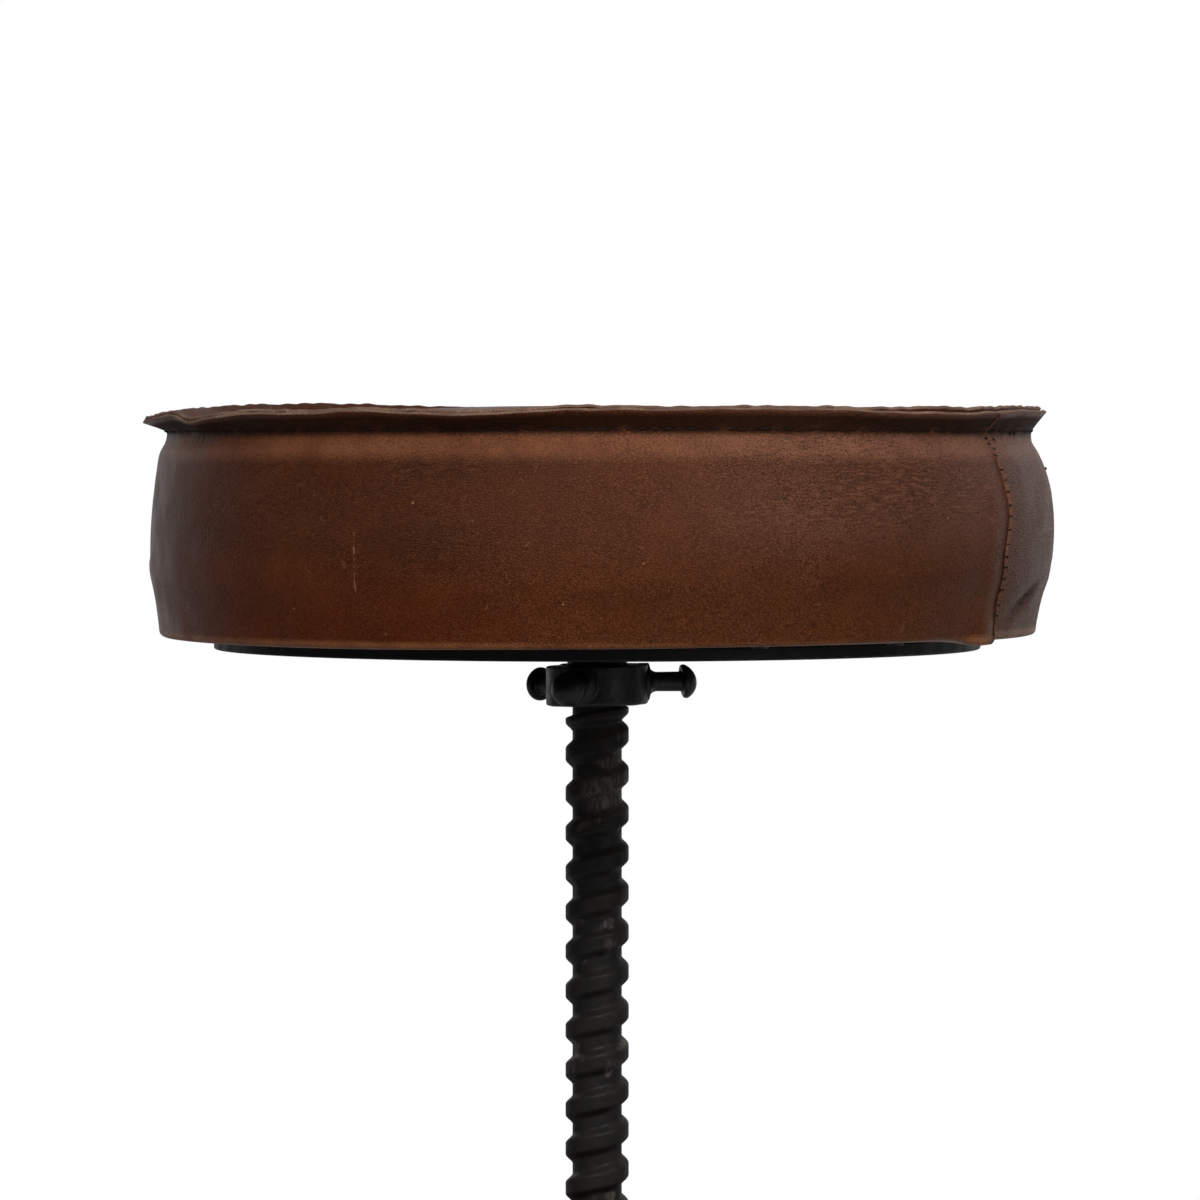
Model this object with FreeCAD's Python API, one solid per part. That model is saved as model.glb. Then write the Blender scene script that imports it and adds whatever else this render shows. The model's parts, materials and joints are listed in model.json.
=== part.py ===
import FreeCAD, Part
import math
import os

# Wind-up stool: a leather seat on a screw spindle that turns in a bronze nut on a four-legged base.
# Millimetres, +Z up, origin on the floor under the spindle's axis, +Y away from the viewer.

# Heights and travel
nut_top_height = 400.0
wound_out = 210.0
lift_travel = 40.0
stop_gap = 0.3

# Screw thread, right-hand and single-start
thread_lead = 15.875
thread_outer_diameter = 25.4
thread_root_diameter = 19.8
thread_crest_flat = 5.6
thread_flank_run = 2.6
thread_crest_below_collar = 12.5
thread_clearance = 0.3
thread_overrun = 12.0
thread_overlap = 1.0
spindle_end_chamfer = 2.0
undercut_height = 5.0

# Spindle's top end
stub_diameter = 17.0
square_width = 12.0
top_thread_diameter = 12.0
top_washer_diameter = 28.0
top_washer_thickness = 2.5
top_nut_width = 19.0
top_nut_height = 9.0
top_thread_showing = 2.0

# Collar, neck and pegs
collar_diameter = 41.0
collar_height = 15.2
collar_edge_radius = 1.4
collar_top_edge_radius = 0.6
neck_diameter = 23.9
neck_height = 6.9
neck_fillet = 1.5
peg_count = 3
peg_turn = 10.0
peg_axis_height = 8.1
peg_root_diameter = 6.8
peg_neck_diameter = 7.3
peg_flare_radius = 3.2
peg_foot_rim = 0.4
peg_head_diameter = 13.5
peg_head_reach = 34.1
peg_tip_reach = 40.2
peg_rim_width = 2.2
peg_rim_round = 1.0
peg_stud_diameter = 6.0
peg_stud_length = 8.0
grub_diameter = 6.0
grub_turn = 70.0
grub_recess = 0.8
grub_socket_width = 3.0
grub_socket_depth = 3.0

# Seat plate and its screws
plate_inset = 19.0
plate_thickness = 5.6
plate_edge_round = 0.8
plate_screw_count = 6
plate_screw_inset = 35.5
plate_screw_diameter = 4.8
plate_screw_head_diameter = 9.6
plate_screw_head_height = 2.6
plate_screw_length = 16.0

# Seat: leather, board and foam
leather_thickness = 1.4
band_top_diameter = 346.0
band_bulge_diameter = 362.4
band_foot_diameter = 351.0
band_height = 80.9
bulge_depth = 42.0
band_corner_radius = 4.0
hem_width = 37.0
flange_angle = 50.0
flange_width = 11.6
crown_height = 8.0
ply_gap = 0.05
board_edge_gap = 1.6
board_thickness = 15.0
board_edge_radius = 2.4
board_hole_diameter = 44.0
foam_gap = 0.2
foam_skirt = 11.0
tack_count = 16
tack_inset = 10.5
tack_head_diameter = 7.0
tack_head_thickness = 0.6
tack_shank_diameter = 1.8
tack_length = 9.0

# Spindle nut
nut_length = 64.0
nut_body_diameter = 40.0
nut_flange_diameter = 68.0
nut_flange_thickness = 8.0
nut_mouth_chamfer = 1.5
nut_screw_count = 4
nut_screw_circle = 55.0
nut_screw_diameter = 6.0
nut_screw_head_diameter = 10.0
nut_screw_head_height = 4.0
nut_screw_length = 18.0
nut_screw_socket_width = 4.0
nut_screw_socket_depth = 2.2

# Hub
hub_height = 54.0
hub_top_diameter = 74.0
hub_foot_diameter = 64.0
hub_edge_radius = 3.0
arm_drop = 27.0
arm_diameter = 38.0
arm_reach = 82.0
arm_edge_radius = 2.0
arm_flare = 5.0
spotface_depth = 1.6
spotface_diameter = 18.0

# Legs and their bolts
leg_names = ("back_right", "back_left", "front_left", "front_right")
leg_count = len(leg_names)
first_leg_turn = 180.0 / leg_count
leg_tube_diameter = 25.4
leg_tube_wall = 2.0
leg_start_reach = 41.0
leg_bend_reach = 100.0
leg_bend_radius = 75.0
leg_splay = 15.0
leg_bolt_reach = 62.0
leg_bolt_diameter = 8.0
leg_bolt_head_width = 13.0
leg_bolt_head_height = 5.3
leg_nut_height = 6.5
leg_washer_diameter = 16.0
leg_washer_thickness = 1.6
leg_bolt_showing = 2.5
seat_clearance = 0.05
hole_clearance = 0.2

# Feet
foot_tube_end_height = 14.0
foot_sleeve_diameter = 33.0
foot_sleeve_length = 24.0
foot_sleeve_round = 2.0
foot_pad_diameter = 42.0
foot_pad_height = 8.0
foot_pad_round = 3.0
foot_disc_thickness = 1.5

# Foot ring and its fixings
ring_below_bend = 69.4
ring_bar_diameter = 16.0
saddle_neck = 3.0
saddle_diameter = 14.0
ring_bolt_diameter = 6.0
ring_bolt_head_diameter = 12.0
ring_bolt_head_height = 3.6
ring_bolt_head_round = 1.6
ring_spotface_depth = 2.2
ring_socket_width = 4.0
ring_socket_depth = 2.0
ring_nut_width = 10.0
ring_nut_height = 5.0
ring_cap_height = 5.0
saddle_washer_thickness = 2.0

# Lower stop
stop_washer_diameter = 44.0
stop_washer_thickness = 6.0
stop_washer_round = 0.8
stop_play = 0.15
stop_bore_clearance = 0.1
shoulder_diameter = 14.0
stop_bolt_diameter = 10.0
stop_bolt_thread_length = 22.0
stop_bolt_flange_diameter = 26.0
stop_bolt_flange_thickness = 2.0
stop_bolt_head_width = 19.0
stop_bolt_head_height = 6.0

# Length that cutting shapes run past what they cut
overrun = 5.0

# Places that follow from the sizes above
axis_z = FreeCAD.Vector(0, 0, 1)
collar_bottom = nut_top_height + wound_out
collar_top = collar_bottom + collar_height
plate_bottom = collar_top + neck_height
plate_top = plate_bottom + plate_thickness
seat_bottom = plate_top
stitch_height = seat_bottom + band_height
board_bottom = seat_bottom + leather_thickness
board_top = board_bottom + board_thickness
thread_top = collar_bottom - undercut_height
thread_outer_radius = thread_outer_diameter / 2
thread_root_radius = thread_root_diameter / 2
nut_bottom = nut_top_height - nut_length
hub_top = nut_top_height - nut_flange_thickness
hub_bottom = hub_top - hub_height
arm_height = hub_top - arm_drop
washer_top = nut_bottom - lift_travel - stop_gap
washer_bottom = washer_top - stop_washer_thickness
spindle_end = washer_top + stop_play
stop_head_top = washer_bottom - stop_play
top_washer_top = plate_top + top_washer_thickness
top_nut_top = top_washer_top + top_nut_height
splay_rad = math.radians(leg_splay)
bend_rad = math.radians(90) - splay_rad
bend_end_reach = leg_bend_reach + leg_bend_radius * math.sin(bend_rad)
bend_end_height = arm_height - leg_bend_radius * (1 - math.cos(bend_rad))
leg_end_reach = bend_end_reach + (bend_end_height - foot_tube_end_height) * math.tan(splay_rad)
leg_direction = FreeCAD.Vector(math.sin(splay_rad), 0, -math.cos(splay_rad))
foot_reach = leg_end_reach + foot_tube_end_height * math.tan(splay_rad)
ring_height = bend_end_height - ring_below_bend
leg_ring_reach = bend_end_reach + (bend_end_height - ring_height) * math.tan(splay_rad)
leg_half_width = leg_tube_diameter / 2 / math.cos(splay_rad)
ring_radius = leg_ring_reach - leg_half_width - saddle_neck - ring_bar_diameter / 2


def at(reach, height):
    return FreeCAD.Vector(reach, 0, height)


def bulge_section(inset):
    """Reach and height of the foot and the middle of the band's side, drawn in by inset."""
    foot = (band_foot_diameter / 2 - inset, seat_bottom + band_corner_radius)
    middle = (band_bulge_diameter / 2 - inset, stitch_height - bulge_depth)
    return foot, middle


def flange_point(along, across):
    """A point of the flange, by distance along it from the stitch line and by depth in from its outer face."""
    angle = math.radians(flange_angle)
    return (band_top_diameter / 2 + along * math.cos(angle) - across * math.sin(angle),
            stitch_height + along * math.sin(angle) + across * math.cos(angle))


def stitch_corner(inset):
    """Where the band's side and its flange meet, at a depth in from the outer faces."""
    angle = math.radians(flange_angle)
    rise = bulge_depth
    run = (band_bulge_diameter - band_top_diameter) / 2
    lean = 2 * math.atan2(run, rise)
    side = (-math.cos(lean), -math.sin(lean))
    flange = (-math.sin(angle), math.cos(angle))
    share = 1 + side[0] * flange[0] + side[1] * flange[1]
    return (band_top_diameter / 2 + inset * (side[0] + flange[0]) / share,
            stitch_height + inset * (side[1] + flange[1]) / share)


def inside_reach(height):
    """Reach of the free space inside the band at a height: the foot's, or the side's where that is less."""
    foot, middle = bulge_section(leather_thickness)
    arc = Part.Arc(at(*foot), at(*middle), at(*stitch_corner(leather_thickness))).toShape().Curve
    outward = math.copysign(1, middle[0] - arc.Center.x)
    side = arc.Center.x + outward * math.sqrt(arc.Radius ** 2 - (height - arc.Center.z) ** 2)
    return min(side, foot[0])


board_radius = inside_reach(board_top) - board_edge_gap
plate_radius = board_radius - plate_inset
plate_screw_reach = plate_radius - plate_screw_inset
tack_reach = board_radius - tack_inset


def line_face(start, *steps):
    """A closed face in the XZ plane; a step is a line's end, or an arc's middle and end."""
    edges = []
    here = at(*start)
    for step in steps + (start,):
        there = at(*step[-2:])
        if len(step) == 4:
            edges.append(Part.Arc(here, at(*step[:2]), there).toShape())
        elif (there - here).Length > 0:
            edges.append(Part.makeLine(here, there))
        here = there
    return Part.Face(Part.Wire(edges))


def turned(start, *steps):
    return line_face(start, *steps).revolve(FreeCAD.Vector(), axis_z, 360)


def rod(radius, bottom, top):
    return Part.makeCylinder(radius, top - bottom, at(0, bottom))


def pipe(outer_radius, inner_radius, bottom, top):
    return rod(outer_radius, bottom, top).cut(rod(inner_radius, bottom - overrun, top + overrun))


def hexagon(width, bottom, top):
    corner = width / 2 / math.cos(math.pi / 6)
    points = [FreeCAD.Vector(corner * math.cos(a), corner * math.sin(a), bottom)
              for a in (k * math.pi / 3 for k in range(7))]
    return Part.Face(Part.makePolygon(points)).extrude(at(0, top - bottom))


def placed(shape, move, turn=0.0):
    """A copy moved in the XZ plane and then turned about the Z axis."""
    copy = shape.copy()
    copy.translate(move)
    copy.rotate(FreeCAD.Vector(), axis_z, turn)
    return copy


def spun(shape, turn):
    return placed(shape, FreeCAD.Vector(), turn)


def laid_out(shape, reach, height):
    """A shape made along Z, laid along +X so that its zero height lies at the given reach and height."""
    copy = shape.copy()
    copy.rotate(FreeCAD.Vector(), FreeCAD.Vector(0, 1, 0), 90)
    copy.translate(at(reach, height))
    return copy


def group(shapes):
    return Part.makeCompound(shapes)


def around(shape, count, first_turn=0.0):
    return [spun(shape, first_turn + k * 360 / count) for k in range(count)]


def cut_all(shape, cutters):
    return shape.cut(Part.makeCompound(cutters))


def corner_round(x_sign, z_sign, corner, radius):
    """Middle of a quarter arc that rounds a corner whose solid side lies along the two signs."""
    inset = radius * (1 - math.cos(math.pi / 4))
    return corner[0] + x_sign * inset, corner[1] + z_sign * inset


def cap_arc(reach, edge_height, centre_height):
    """Middle and end of the arc of a round cap, from its edge to its centre on the axis."""
    rise = centre_height - edge_height
    radius = (reach ** 2 + rise ** 2) / (2 * rise)
    half = math.asin(reach / radius) / 2
    return radius * math.sin(half), centre_height - radius * (1 - math.cos(half)), 0, centre_height


def thread_ridge(bottom, top, growth=0.0):
    """The spindle's helical ridge, running past two heights; growth widens it for the nut's thread."""
    base = thread_root_radius + growth
    crest = thread_outer_radius + growth
    slope = thread_flank_run / (thread_outer_radius - thread_root_radius)
    widening = growth * math.hypot(1, slope) - growth * slope
    half_crest = thread_crest_flat / 2 + widening
    half_base = half_crest + slope * (crest - base + thread_overlap)
    crest_height = collar_bottom - thread_crest_below_collar
    turns_below = math.ceil((crest_height - bottom + thread_overrun) / thread_lead)
    start = crest_height - turns_below * thread_lead
    turns = math.ceil((top + thread_overrun - start) / thread_lead)
    helix = Part.makeHelix(thread_lead, turns * thread_lead, base)
    helix.translate(at(0, start))
    corners = [at(base - thread_overlap, start - half_base), at(crest, start - half_crest),
               at(crest, start + half_crest), at(base - thread_overlap, start + half_base)]
    section = Part.makePolygon(corners + corners[:1])
    return Part.Wire(helix.Edges).makePipeShell([section], True, True)


def threaded_rod(bottom, top, growth=0.0):
    ridge = thread_ridge(bottom, top, growth)
    core = rod(thread_root_radius + growth, ridge.BoundBox.ZMin - overrun, ridge.BoundBox.ZMax + overrun)
    return core.fuse(ridge).common(rod(thread_outer_radius + growth + overrun, bottom, top))


def make_spindle():
    screw = threaded_rod(spindle_end, thread_top)
    point = turned((0, spindle_end),
                   (thread_outer_radius - spindle_end_chamfer, spindle_end),
                   (thread_outer_radius + overrun, spindle_end + spindle_end_chamfer + overrun),
                   (thread_outer_radius + overrun, thread_top),
                   (0, thread_top))
    screw = screw.common(point)
    half = square_width / 2
    square = Part.makeBox(square_width, square_width, plate_thickness,
                          FreeCAD.Vector(-half, -half, plate_bottom))
    pieces = [rod(thread_root_radius, thread_top, collar_bottom),
              rod(stub_diameter / 2, collar_bottom, plate_bottom),
              square,
              rod(top_thread_diameter / 2, plate_top, top_nut_top + top_thread_showing)]
    spindle = screw.multiFuse(pieces)
    spindle = spindle.cut(rod(stop_bolt_diameter / 2 + seat_clearance, spindle_end - overrun,
                              spindle_end + stop_bolt_thread_length + seat_clearance))
    return spindle.removeSplitter()


def make_turning_collar():
    outer = collar_diameter / 2
    neck = neck_diameter / 2
    bore = stub_diameter / 2 + seat_clearance
    edge = collar_edge_radius
    top_edge_radius = collar_top_edge_radius
    collar = turned((bore, collar_bottom),
                    (outer - edge, collar_bottom),
                    (*corner_round(-1, 1, (outer, collar_bottom), edge), outer, collar_bottom + edge),
                    (outer, collar_top - top_edge_radius),
                    (*corner_round(-1, -1, (outer, collar_top), top_edge_radius),
                     outer - top_edge_radius, collar_top),
                    (neck + neck_fillet, collar_top),
                    (*corner_round(1, 1, (neck, collar_top), neck_fillet), neck, collar_top + neck_fillet),
                    (neck, plate_bottom),
                    (bore, plate_bottom))
    axis_height = collar_bottom + peg_axis_height
    stud = rod(peg_stud_diameter / 2 + seat_clearance, outer - peg_stud_length - seat_clearance,
               outer + overrun)
    grub = rod(grub_diameter / 2 + seat_clearance, 0, outer + overrun)
    holes = around(laid_out(stud, 0, axis_height), peg_count, peg_turn)
    holes.append(spun(laid_out(grub, 0, axis_height), grub_turn))
    return cut_all(collar, holes)


def make_collar_peg(number):
    collar = collar_diameter / 2
    root = peg_root_diameter / 2
    neck = peg_neck_diameter / 2
    head = peg_head_diameter / 2
    foot = root + peg_flare_radius
    flare_start = collar + peg_foot_rim
    foot_start = math.sqrt(collar ** 2 - foot ** 2) - overrun
    rim_start = peg_head_reach + peg_rim_round
    rim_end = rim_start + peg_rim_width - peg_rim_round
    body = turned((0, foot_start),
                  (foot, foot_start),
                  (foot, flare_start),
                  (*corner_round(1, 1, (root, flare_start), peg_flare_radius),
                   root, flare_start + peg_flare_radius),
                  (neck, peg_head_reach),
                  (head - peg_rim_round, peg_head_reach),
                  (*corner_round(-1, 1, (head, peg_head_reach), peg_rim_round), head, rim_start),
                  (head, rim_end),
                  cap_arc(head, rim_end, peg_tip_reach))
    stud = rod(peg_stud_diameter / 2, collar - peg_stud_length, flare_start)
    axis_height = collar_bottom + peg_axis_height
    lying = laid_out(body, 0, axis_height)
    lying = lying.cut(rod(collar + seat_clearance, collar_bottom - overrun, collar_top + overrun))
    peg = lying.fuse(laid_out(stud, 0, axis_height))
    return spun(peg, peg_turn + number * 360 / peg_count)


def make_collar_grub_screw():
    inner = stub_diameter / 2 + seat_clearance
    outer = collar_diameter / 2 - grub_recess
    screw = rod(grub_diameter / 2, inner, outer)
    screw = screw.cut(hexagon(grub_socket_width, outer - grub_socket_depth, outer + overrun))
    return spun(laid_out(screw, 0, collar_bottom + peg_axis_height), grub_turn)


def make_seat_plate():
    outer = plate_radius
    edge = plate_edge_round
    plate = turned((0, plate_bottom),
                   (outer - edge, plate_bottom),
                   (*corner_round(-1, 1, (outer, plate_bottom), edge), outer, plate_bottom + edge),
                   (outer, plate_top - edge),
                   (*corner_round(-1, -1, (outer, plate_top), edge), outer - edge, plate_top),
                   (0, plate_top))
    side = square_width + 2 * seat_clearance
    square = Part.makeBox(side, side, plate_thickness + 2 * overrun,
                          FreeCAD.Vector(-side / 2, -side / 2, plate_bottom - overrun))
    screw = plate_screw_shape(seat_clearance)
    return cut_all(plate, [square] + around(screw, plate_screw_count))


def plate_screw_shape(growth):
    """A countersunk screw pointing up, on +X; growth makes it the cutter for its hole."""
    head = plate_screw_head_diameter / 2 + growth
    shank = plate_screw_diameter / 2 + growth
    tip = plate_bottom + plate_screw_length + 2 * growth
    screw = turned((0, plate_bottom - growth),
                   (head, plate_bottom - growth),
                   (shank, plate_bottom + plate_screw_head_height),
                   (shank, tip - shank),
                   (0, tip))
    return placed(screw, at(plate_screw_reach, 0))


def make_plate_screws():
    return group(around(plate_screw_shape(0), plate_screw_count))


def make_top_washer():
    return pipe(top_washer_diameter / 2, top_thread_diameter / 2 + hole_clearance, plate_top, top_washer_top)


def make_top_nut():
    nut = hexagon(top_nut_width, top_washer_top, top_nut_top)
    nut = nut.common(chamfer_cone(top_nut_width, top_washer_top, top_nut_top))
    hole = rod(top_thread_diameter / 2 + seat_clearance, top_washer_top - overrun, top_nut_top + overrun)
    return nut.cut(hole)


def chamfer_cone(width, bottom, top):
    """The turned shape that takes the corners off a hexagon's upper end."""
    corner = width / 2 / math.cos(math.pi / 6)
    drop = (corner - width / 2) / 2
    return turned((0, bottom),
                  (corner, bottom),
                  (corner, top - drop),
                  (width / 2, top),
                  (0, top))


def make_seat_band():
    foot, middle = bulge_section(0)
    inner_foot, inner_middle = bulge_section(leather_thickness)
    radius = band_corner_radius
    inner_radius = radius - leather_thickness
    corner = (band_foot_diameter / 2, seat_bottom)
    inner_corner = (band_foot_diameter / 2 - leather_thickness, board_bottom)
    hem_reach = band_foot_diameter / 2 - hem_width
    inner_foot = (inner_corner[0], board_bottom + inner_radius)
    band = turned((hem_reach, seat_bottom),
                  (corner[0] - radius, seat_bottom),
                  (*corner_round(-1, 1, corner, radius), *foot),
                  (*middle, *stitch_corner(0)),
                  flange_point(flange_width, 0),
                  flange_point(flange_width, leather_thickness),
                  stitch_corner(leather_thickness),
                  (*inner_middle, *inner_foot),
                  (*corner_round(-1, 1, inner_corner, inner_radius),
                   inner_corner[0] - inner_radius, board_bottom),
                  (hem_reach, board_bottom))
    return cut_all(band, around(tack_shape(seat_clearance), tack_count))


def top_edge():
    """Lower and upper corner of the top panel, where it turns up into the flange."""
    under = leather_thickness + ply_gap
    lower = stitch_corner(under)
    return lower, (lower[0], lower[1] + leather_thickness)


def make_seat_top():
    lower, upper = top_edge()
    crown = stitch_height + crown_height
    under = leather_thickness + ply_gap
    middle = cap_arc(*lower, crown - leather_thickness)[:2]
    return turned((0, crown - leather_thickness),
                  (*middle, *lower),
                  flange_point(flange_width, under),
                  flange_point(flange_width, under + leather_thickness),
                  upper,
                  cap_arc(*upper, crown))


def make_seat_foam():
    inset = leather_thickness + foam_gap
    _, middle = bulge_section(inset)
    lower, _ = top_edge()
    shoulder = (lower[0] - 2 * foam_gap, lower[1] - 2 * foam_gap)
    crown = stitch_height + crown_height - inset
    skirt_bottom = board_top - foam_skirt
    board = board_radius + foam_gap
    foot = (inside_reach(skirt_bottom) - foam_gap, skirt_bottom)
    top = board_top + seat_clearance
    return turned((0, top),
                  (board, top),
                  (board, skirt_bottom),
                  foot,
                  (*middle, *shoulder),
                  cap_arc(*shoulder, crown))


def make_seat_board():
    outer = board_radius
    edge = board_edge_radius
    board = turned((board_hole_diameter / 2, board_bottom),
                   (outer - edge, board_bottom),
                   (*corner_round(-1, 1, (outer, board_bottom), edge), outer, board_bottom + edge),
                   (outer, board_top),
                   (board_hole_diameter / 2, board_top))
    screws = around(plate_screw_shape(seat_clearance), plate_screw_count)
    return cut_all(board, screws + around(tack_shape(seat_clearance), tack_count))


def tack_shape(growth):
    """A flat-headed tack driven up through the hem, on +X; growth makes it the cutter for its hole."""
    head = tack_head_diameter / 2
    shank = tack_shank_diameter / 2 + growth
    head_bottom = seat_bottom - tack_head_thickness
    tip = seat_bottom + tack_length + 2 * growth
    tack = turned((0, head_bottom),
                  (head - tack_head_thickness, head_bottom),
                  (head, seat_bottom),
                  (shank, seat_bottom),
                  (shank, tip - shank),
                  (0, tip))
    return placed(tack, at(tack_reach, 0))


def make_hem_tacks():
    return group(around(tack_shape(0), tack_count))


def make_spindle_nut():
    body = nut_body_diameter / 2
    flange = nut_flange_diameter / 2
    blank = turned((0, nut_bottom),
                   (body, nut_bottom),
                   (body, hub_top),
                   (flange, hub_top),
                   (flange, nut_top_height),
                   (0, nut_top_height))
    tap = threaded_rod(nut_bottom - overrun, nut_top_height + overrun, thread_clearance)
    nut = blank.cut(tap)
    mouth = thread_outer_radius + thread_clearance + nut_mouth_chamfer
    for height, way in ((nut_top_height, -1), (nut_bottom, 1)):
        cone = turned((0, height),
                      (mouth, height),
                      (0, height + way * mouth))
        nut = nut.cut(cone)
    head = rod(nut_screw_head_diameter / 2 + hole_clearance, nut_top_height - nut_screw_head_height,
               nut_top_height + overrun)
    hole = rod(nut_screw_diameter / 2 + hole_clearance, hub_top - overrun, nut_top_height + overrun)
    screw = placed(head.fuse(hole), at(nut_screw_circle / 2, 0))
    return cut_all(nut, around(screw, nut_screw_count))


def make_nut_screws():
    head_bottom = nut_top_height - nut_screw_head_height
    head = rod(nut_screw_head_diameter / 2, head_bottom, nut_top_height)
    head = head.cut(hexagon(nut_screw_socket_width, nut_top_height - nut_screw_socket_depth,
                            nut_top_height + overrun))
    screw = head.fuse(rod(nut_screw_diameter / 2, head_bottom - nut_screw_length, head_bottom))
    screw = placed(screw, at(nut_screw_circle / 2, 0))
    return group(around(screw, nut_screw_count))


def make_hub():
    top = hub_top_diameter / 2
    foot = hub_foot_diameter / 2
    edge = hub_edge_radius
    barrel = turned((0, hub_bottom),
                    (foot - edge, hub_bottom),
                    (*corner_round(-1, 1, (foot, hub_bottom), edge), foot, hub_bottom + edge),
                    (top, arm_height),
                    (top, hub_top - edge),
                    (*corner_round(-1, -1, (top, hub_top), edge), top - edge, hub_top),
                    (0, hub_top))
    arm = arm_diameter / 2
    lip = arm_edge_radius
    flare = arm + arm_flare
    sleeve = turned((0, 0),
                    (flare, 0),
                    (flare, foot),
                    (*corner_round(1, 1, (arm, foot), arm_flare), arm, foot + arm_flare),
                    (arm, arm_reach - lip),
                    (*corner_round(-1, -1, (arm, arm_reach), lip), arm - lip, arm_reach),
                    (0, arm_reach))
    arms = around(laid_out(sleeve, 0, arm_height), leg_count, first_leg_turn)
    hub = barrel.multiFuse(arms).removeSplitter()
    tube = leg_tube_diameter / 2 + seat_clearance
    socket = laid_out(rod(tube, leg_start_reach - seat_clearance, arm_reach + overrun), 0, arm_height)
    bolt = placed(rod(leg_bolt_diameter / 2 + hole_clearance, arm_height - arm_diameter,
                      arm_height + arm_diameter), at(leg_bolt_reach, 0))
    face = arm - spotface_depth
    pads = [placed(rod(spotface_diameter / 2, bottom, top), at(leg_bolt_reach, arm_height))
            for bottom, top in ((face, arm + overrun), (-arm - overrun, -face))]
    cutters = [cutter for piece in [socket, bolt] + pads
               for cutter in around(piece, leg_count, first_leg_turn)]
    cutters.append(rod(nut_body_diameter / 2 + seat_clearance, hub_bottom - overrun, hub_top + overrun))
    screw_end = nut_top_height - nut_screw_head_height - nut_screw_length
    screw = placed(rod(nut_screw_diameter / 2 + seat_clearance, screw_end - seat_clearance, hub_top + overrun),
                   at(nut_screw_circle / 2, 0))
    return cut_all(hub, cutters + around(screw, nut_screw_count))


def leg_path():
    """The leg's centreline on +X: level out of the hub, round the bend, then down to the foot."""
    half = bend_rad / 2
    centre = at(leg_bend_reach, arm_height - leg_bend_radius)
    middle = centre + at(leg_bend_radius * math.sin(half), leg_bend_radius * math.cos(half))
    start = at(leg_start_reach, arm_height)
    bend_start = at(leg_bend_reach, arm_height)
    bend_end = at(bend_end_reach, bend_end_height)
    end = at(leg_end_reach, foot_tube_end_height)
    return Part.Wire([Part.makeLine(start, bend_start),
                      Part.Arc(bend_start, middle, bend_end).toShape(),
                      Part.makeLine(bend_end, end)])


def tube_along(path, radius):
    start = path.Vertexes[0].Point
    circle = Part.Wire([Part.makeCircle(radius, start, FreeCAD.Vector(1, 0, 0))])
    return path.makePipeShell([circle], True, False)


def radial_rod(radius, inner, outer):
    """A rod along +X at the foot ring's height."""
    return laid_out(rod(radius, inner, outer), 0, ring_height)


def leg_core(growth):
    """The straight lower part of the leg as a plain rod, grown for cutting what sits on it."""
    length = (bend_end_height - foot_tube_end_height) / math.cos(splay_rad)
    return Part.makeCylinder(leg_tube_diameter / 2 + growth, length,
                             at(bend_end_reach, bend_end_height), leg_direction)


def make_leg(number):
    path = leg_path()
    outer = leg_tube_diameter / 2
    leg = tube_along(path, outer).cut(tube_along(path, outer - leg_tube_wall))
    bolt = placed(rod(leg_bolt_diameter / 2 + hole_clearance, arm_height - leg_tube_diameter,
                      arm_height + leg_tube_diameter), at(leg_bolt_reach, 0))
    ring_bolt = radial_rod(ring_bolt_diameter / 2 + hole_clearance, ring_radius,
                           leg_ring_reach + leg_tube_diameter)
    leg = leg.cut(bolt).cut(ring_bolt)
    return spun(leg, first_leg_turn + number * 360 / leg_count)


def make_foot(number):
    sleeve_radius = foot_sleeve_diameter / 2
    round_off = foot_sleeve_round
    top = foot_sleeve_length
    bottom = -2 * foot_tube_end_height
    sleeve = turned((0, bottom),
                    (sleeve_radius, bottom),
                    (sleeve_radius, top - round_off),
                    (*corner_round(-1, -1, (sleeve_radius, top), round_off), sleeve_radius - round_off, top),
                    (0, top))
    recess = rod(leg_tube_diameter / 2 + seat_clearance, -foot_disc_thickness - seat_clearance,
                 foot_sleeve_length + overrun)
    pad_radius = foot_pad_diameter / 2
    pad = turned((0, 0),
                 (pad_radius, 0),
                 (pad_radius, foot_pad_height - foot_pad_round),
                 (*corner_round(-1, -1, (pad_radius, foot_pad_height), foot_pad_round),
                  pad_radius - foot_pad_round, foot_pad_height),
                 (0, foot_pad_height))
    pad = placed(pad, at(foot_reach, 0))
    foot = on_leg_end(sleeve).fuse(pad).cut(on_leg_end(recess))
    below = placed(rod(2 * foot_pad_diameter, -3 * foot_sleeve_length, 0), at(foot_reach, 0))
    foot = foot.cut(below).removeSplitter()
    return spun(foot, first_leg_turn + number * 360 / leg_count)


def on_leg_end(shape):
    """A shape made along Z, set on the leg's lower end with its zero height at the tube's end."""
    copy = shape.copy()
    copy.rotate(FreeCAD.Vector(), FreeCAD.Vector(0, 1, 0), -leg_splay)
    copy.translate(at(leg_end_reach, foot_tube_end_height))
    return copy


def make_foot_discs():
    disc = rod(leg_tube_diameter / 2 - hole_clearance, -foot_disc_thickness, 0)
    return group(around(on_leg_end(disc), leg_count, first_leg_turn))


def leg_bolt_heights():
    """Heights of the upper and lower spot faces of the hub's arms."""
    face = arm_diameter / 2 - spotface_depth
    return arm_height + face, arm_height - face


def make_leg_bolts():
    upper, lower = leg_bolt_heights()
    head_bottom = upper + leg_washer_thickness
    head_top = head_bottom + leg_bolt_head_height
    end = lower - leg_washer_thickness - leg_nut_height - leg_bolt_showing
    head = hexagon(leg_bolt_head_width, head_bottom, head_top)
    head = head.common(chamfer_cone(leg_bolt_head_width, head_bottom, head_top))
    bolt = head.fuse(rod(leg_bolt_diameter / 2, end, head_bottom))
    return group(around(placed(bolt, at(leg_bolt_reach, 0)), leg_count, first_leg_turn))


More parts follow.
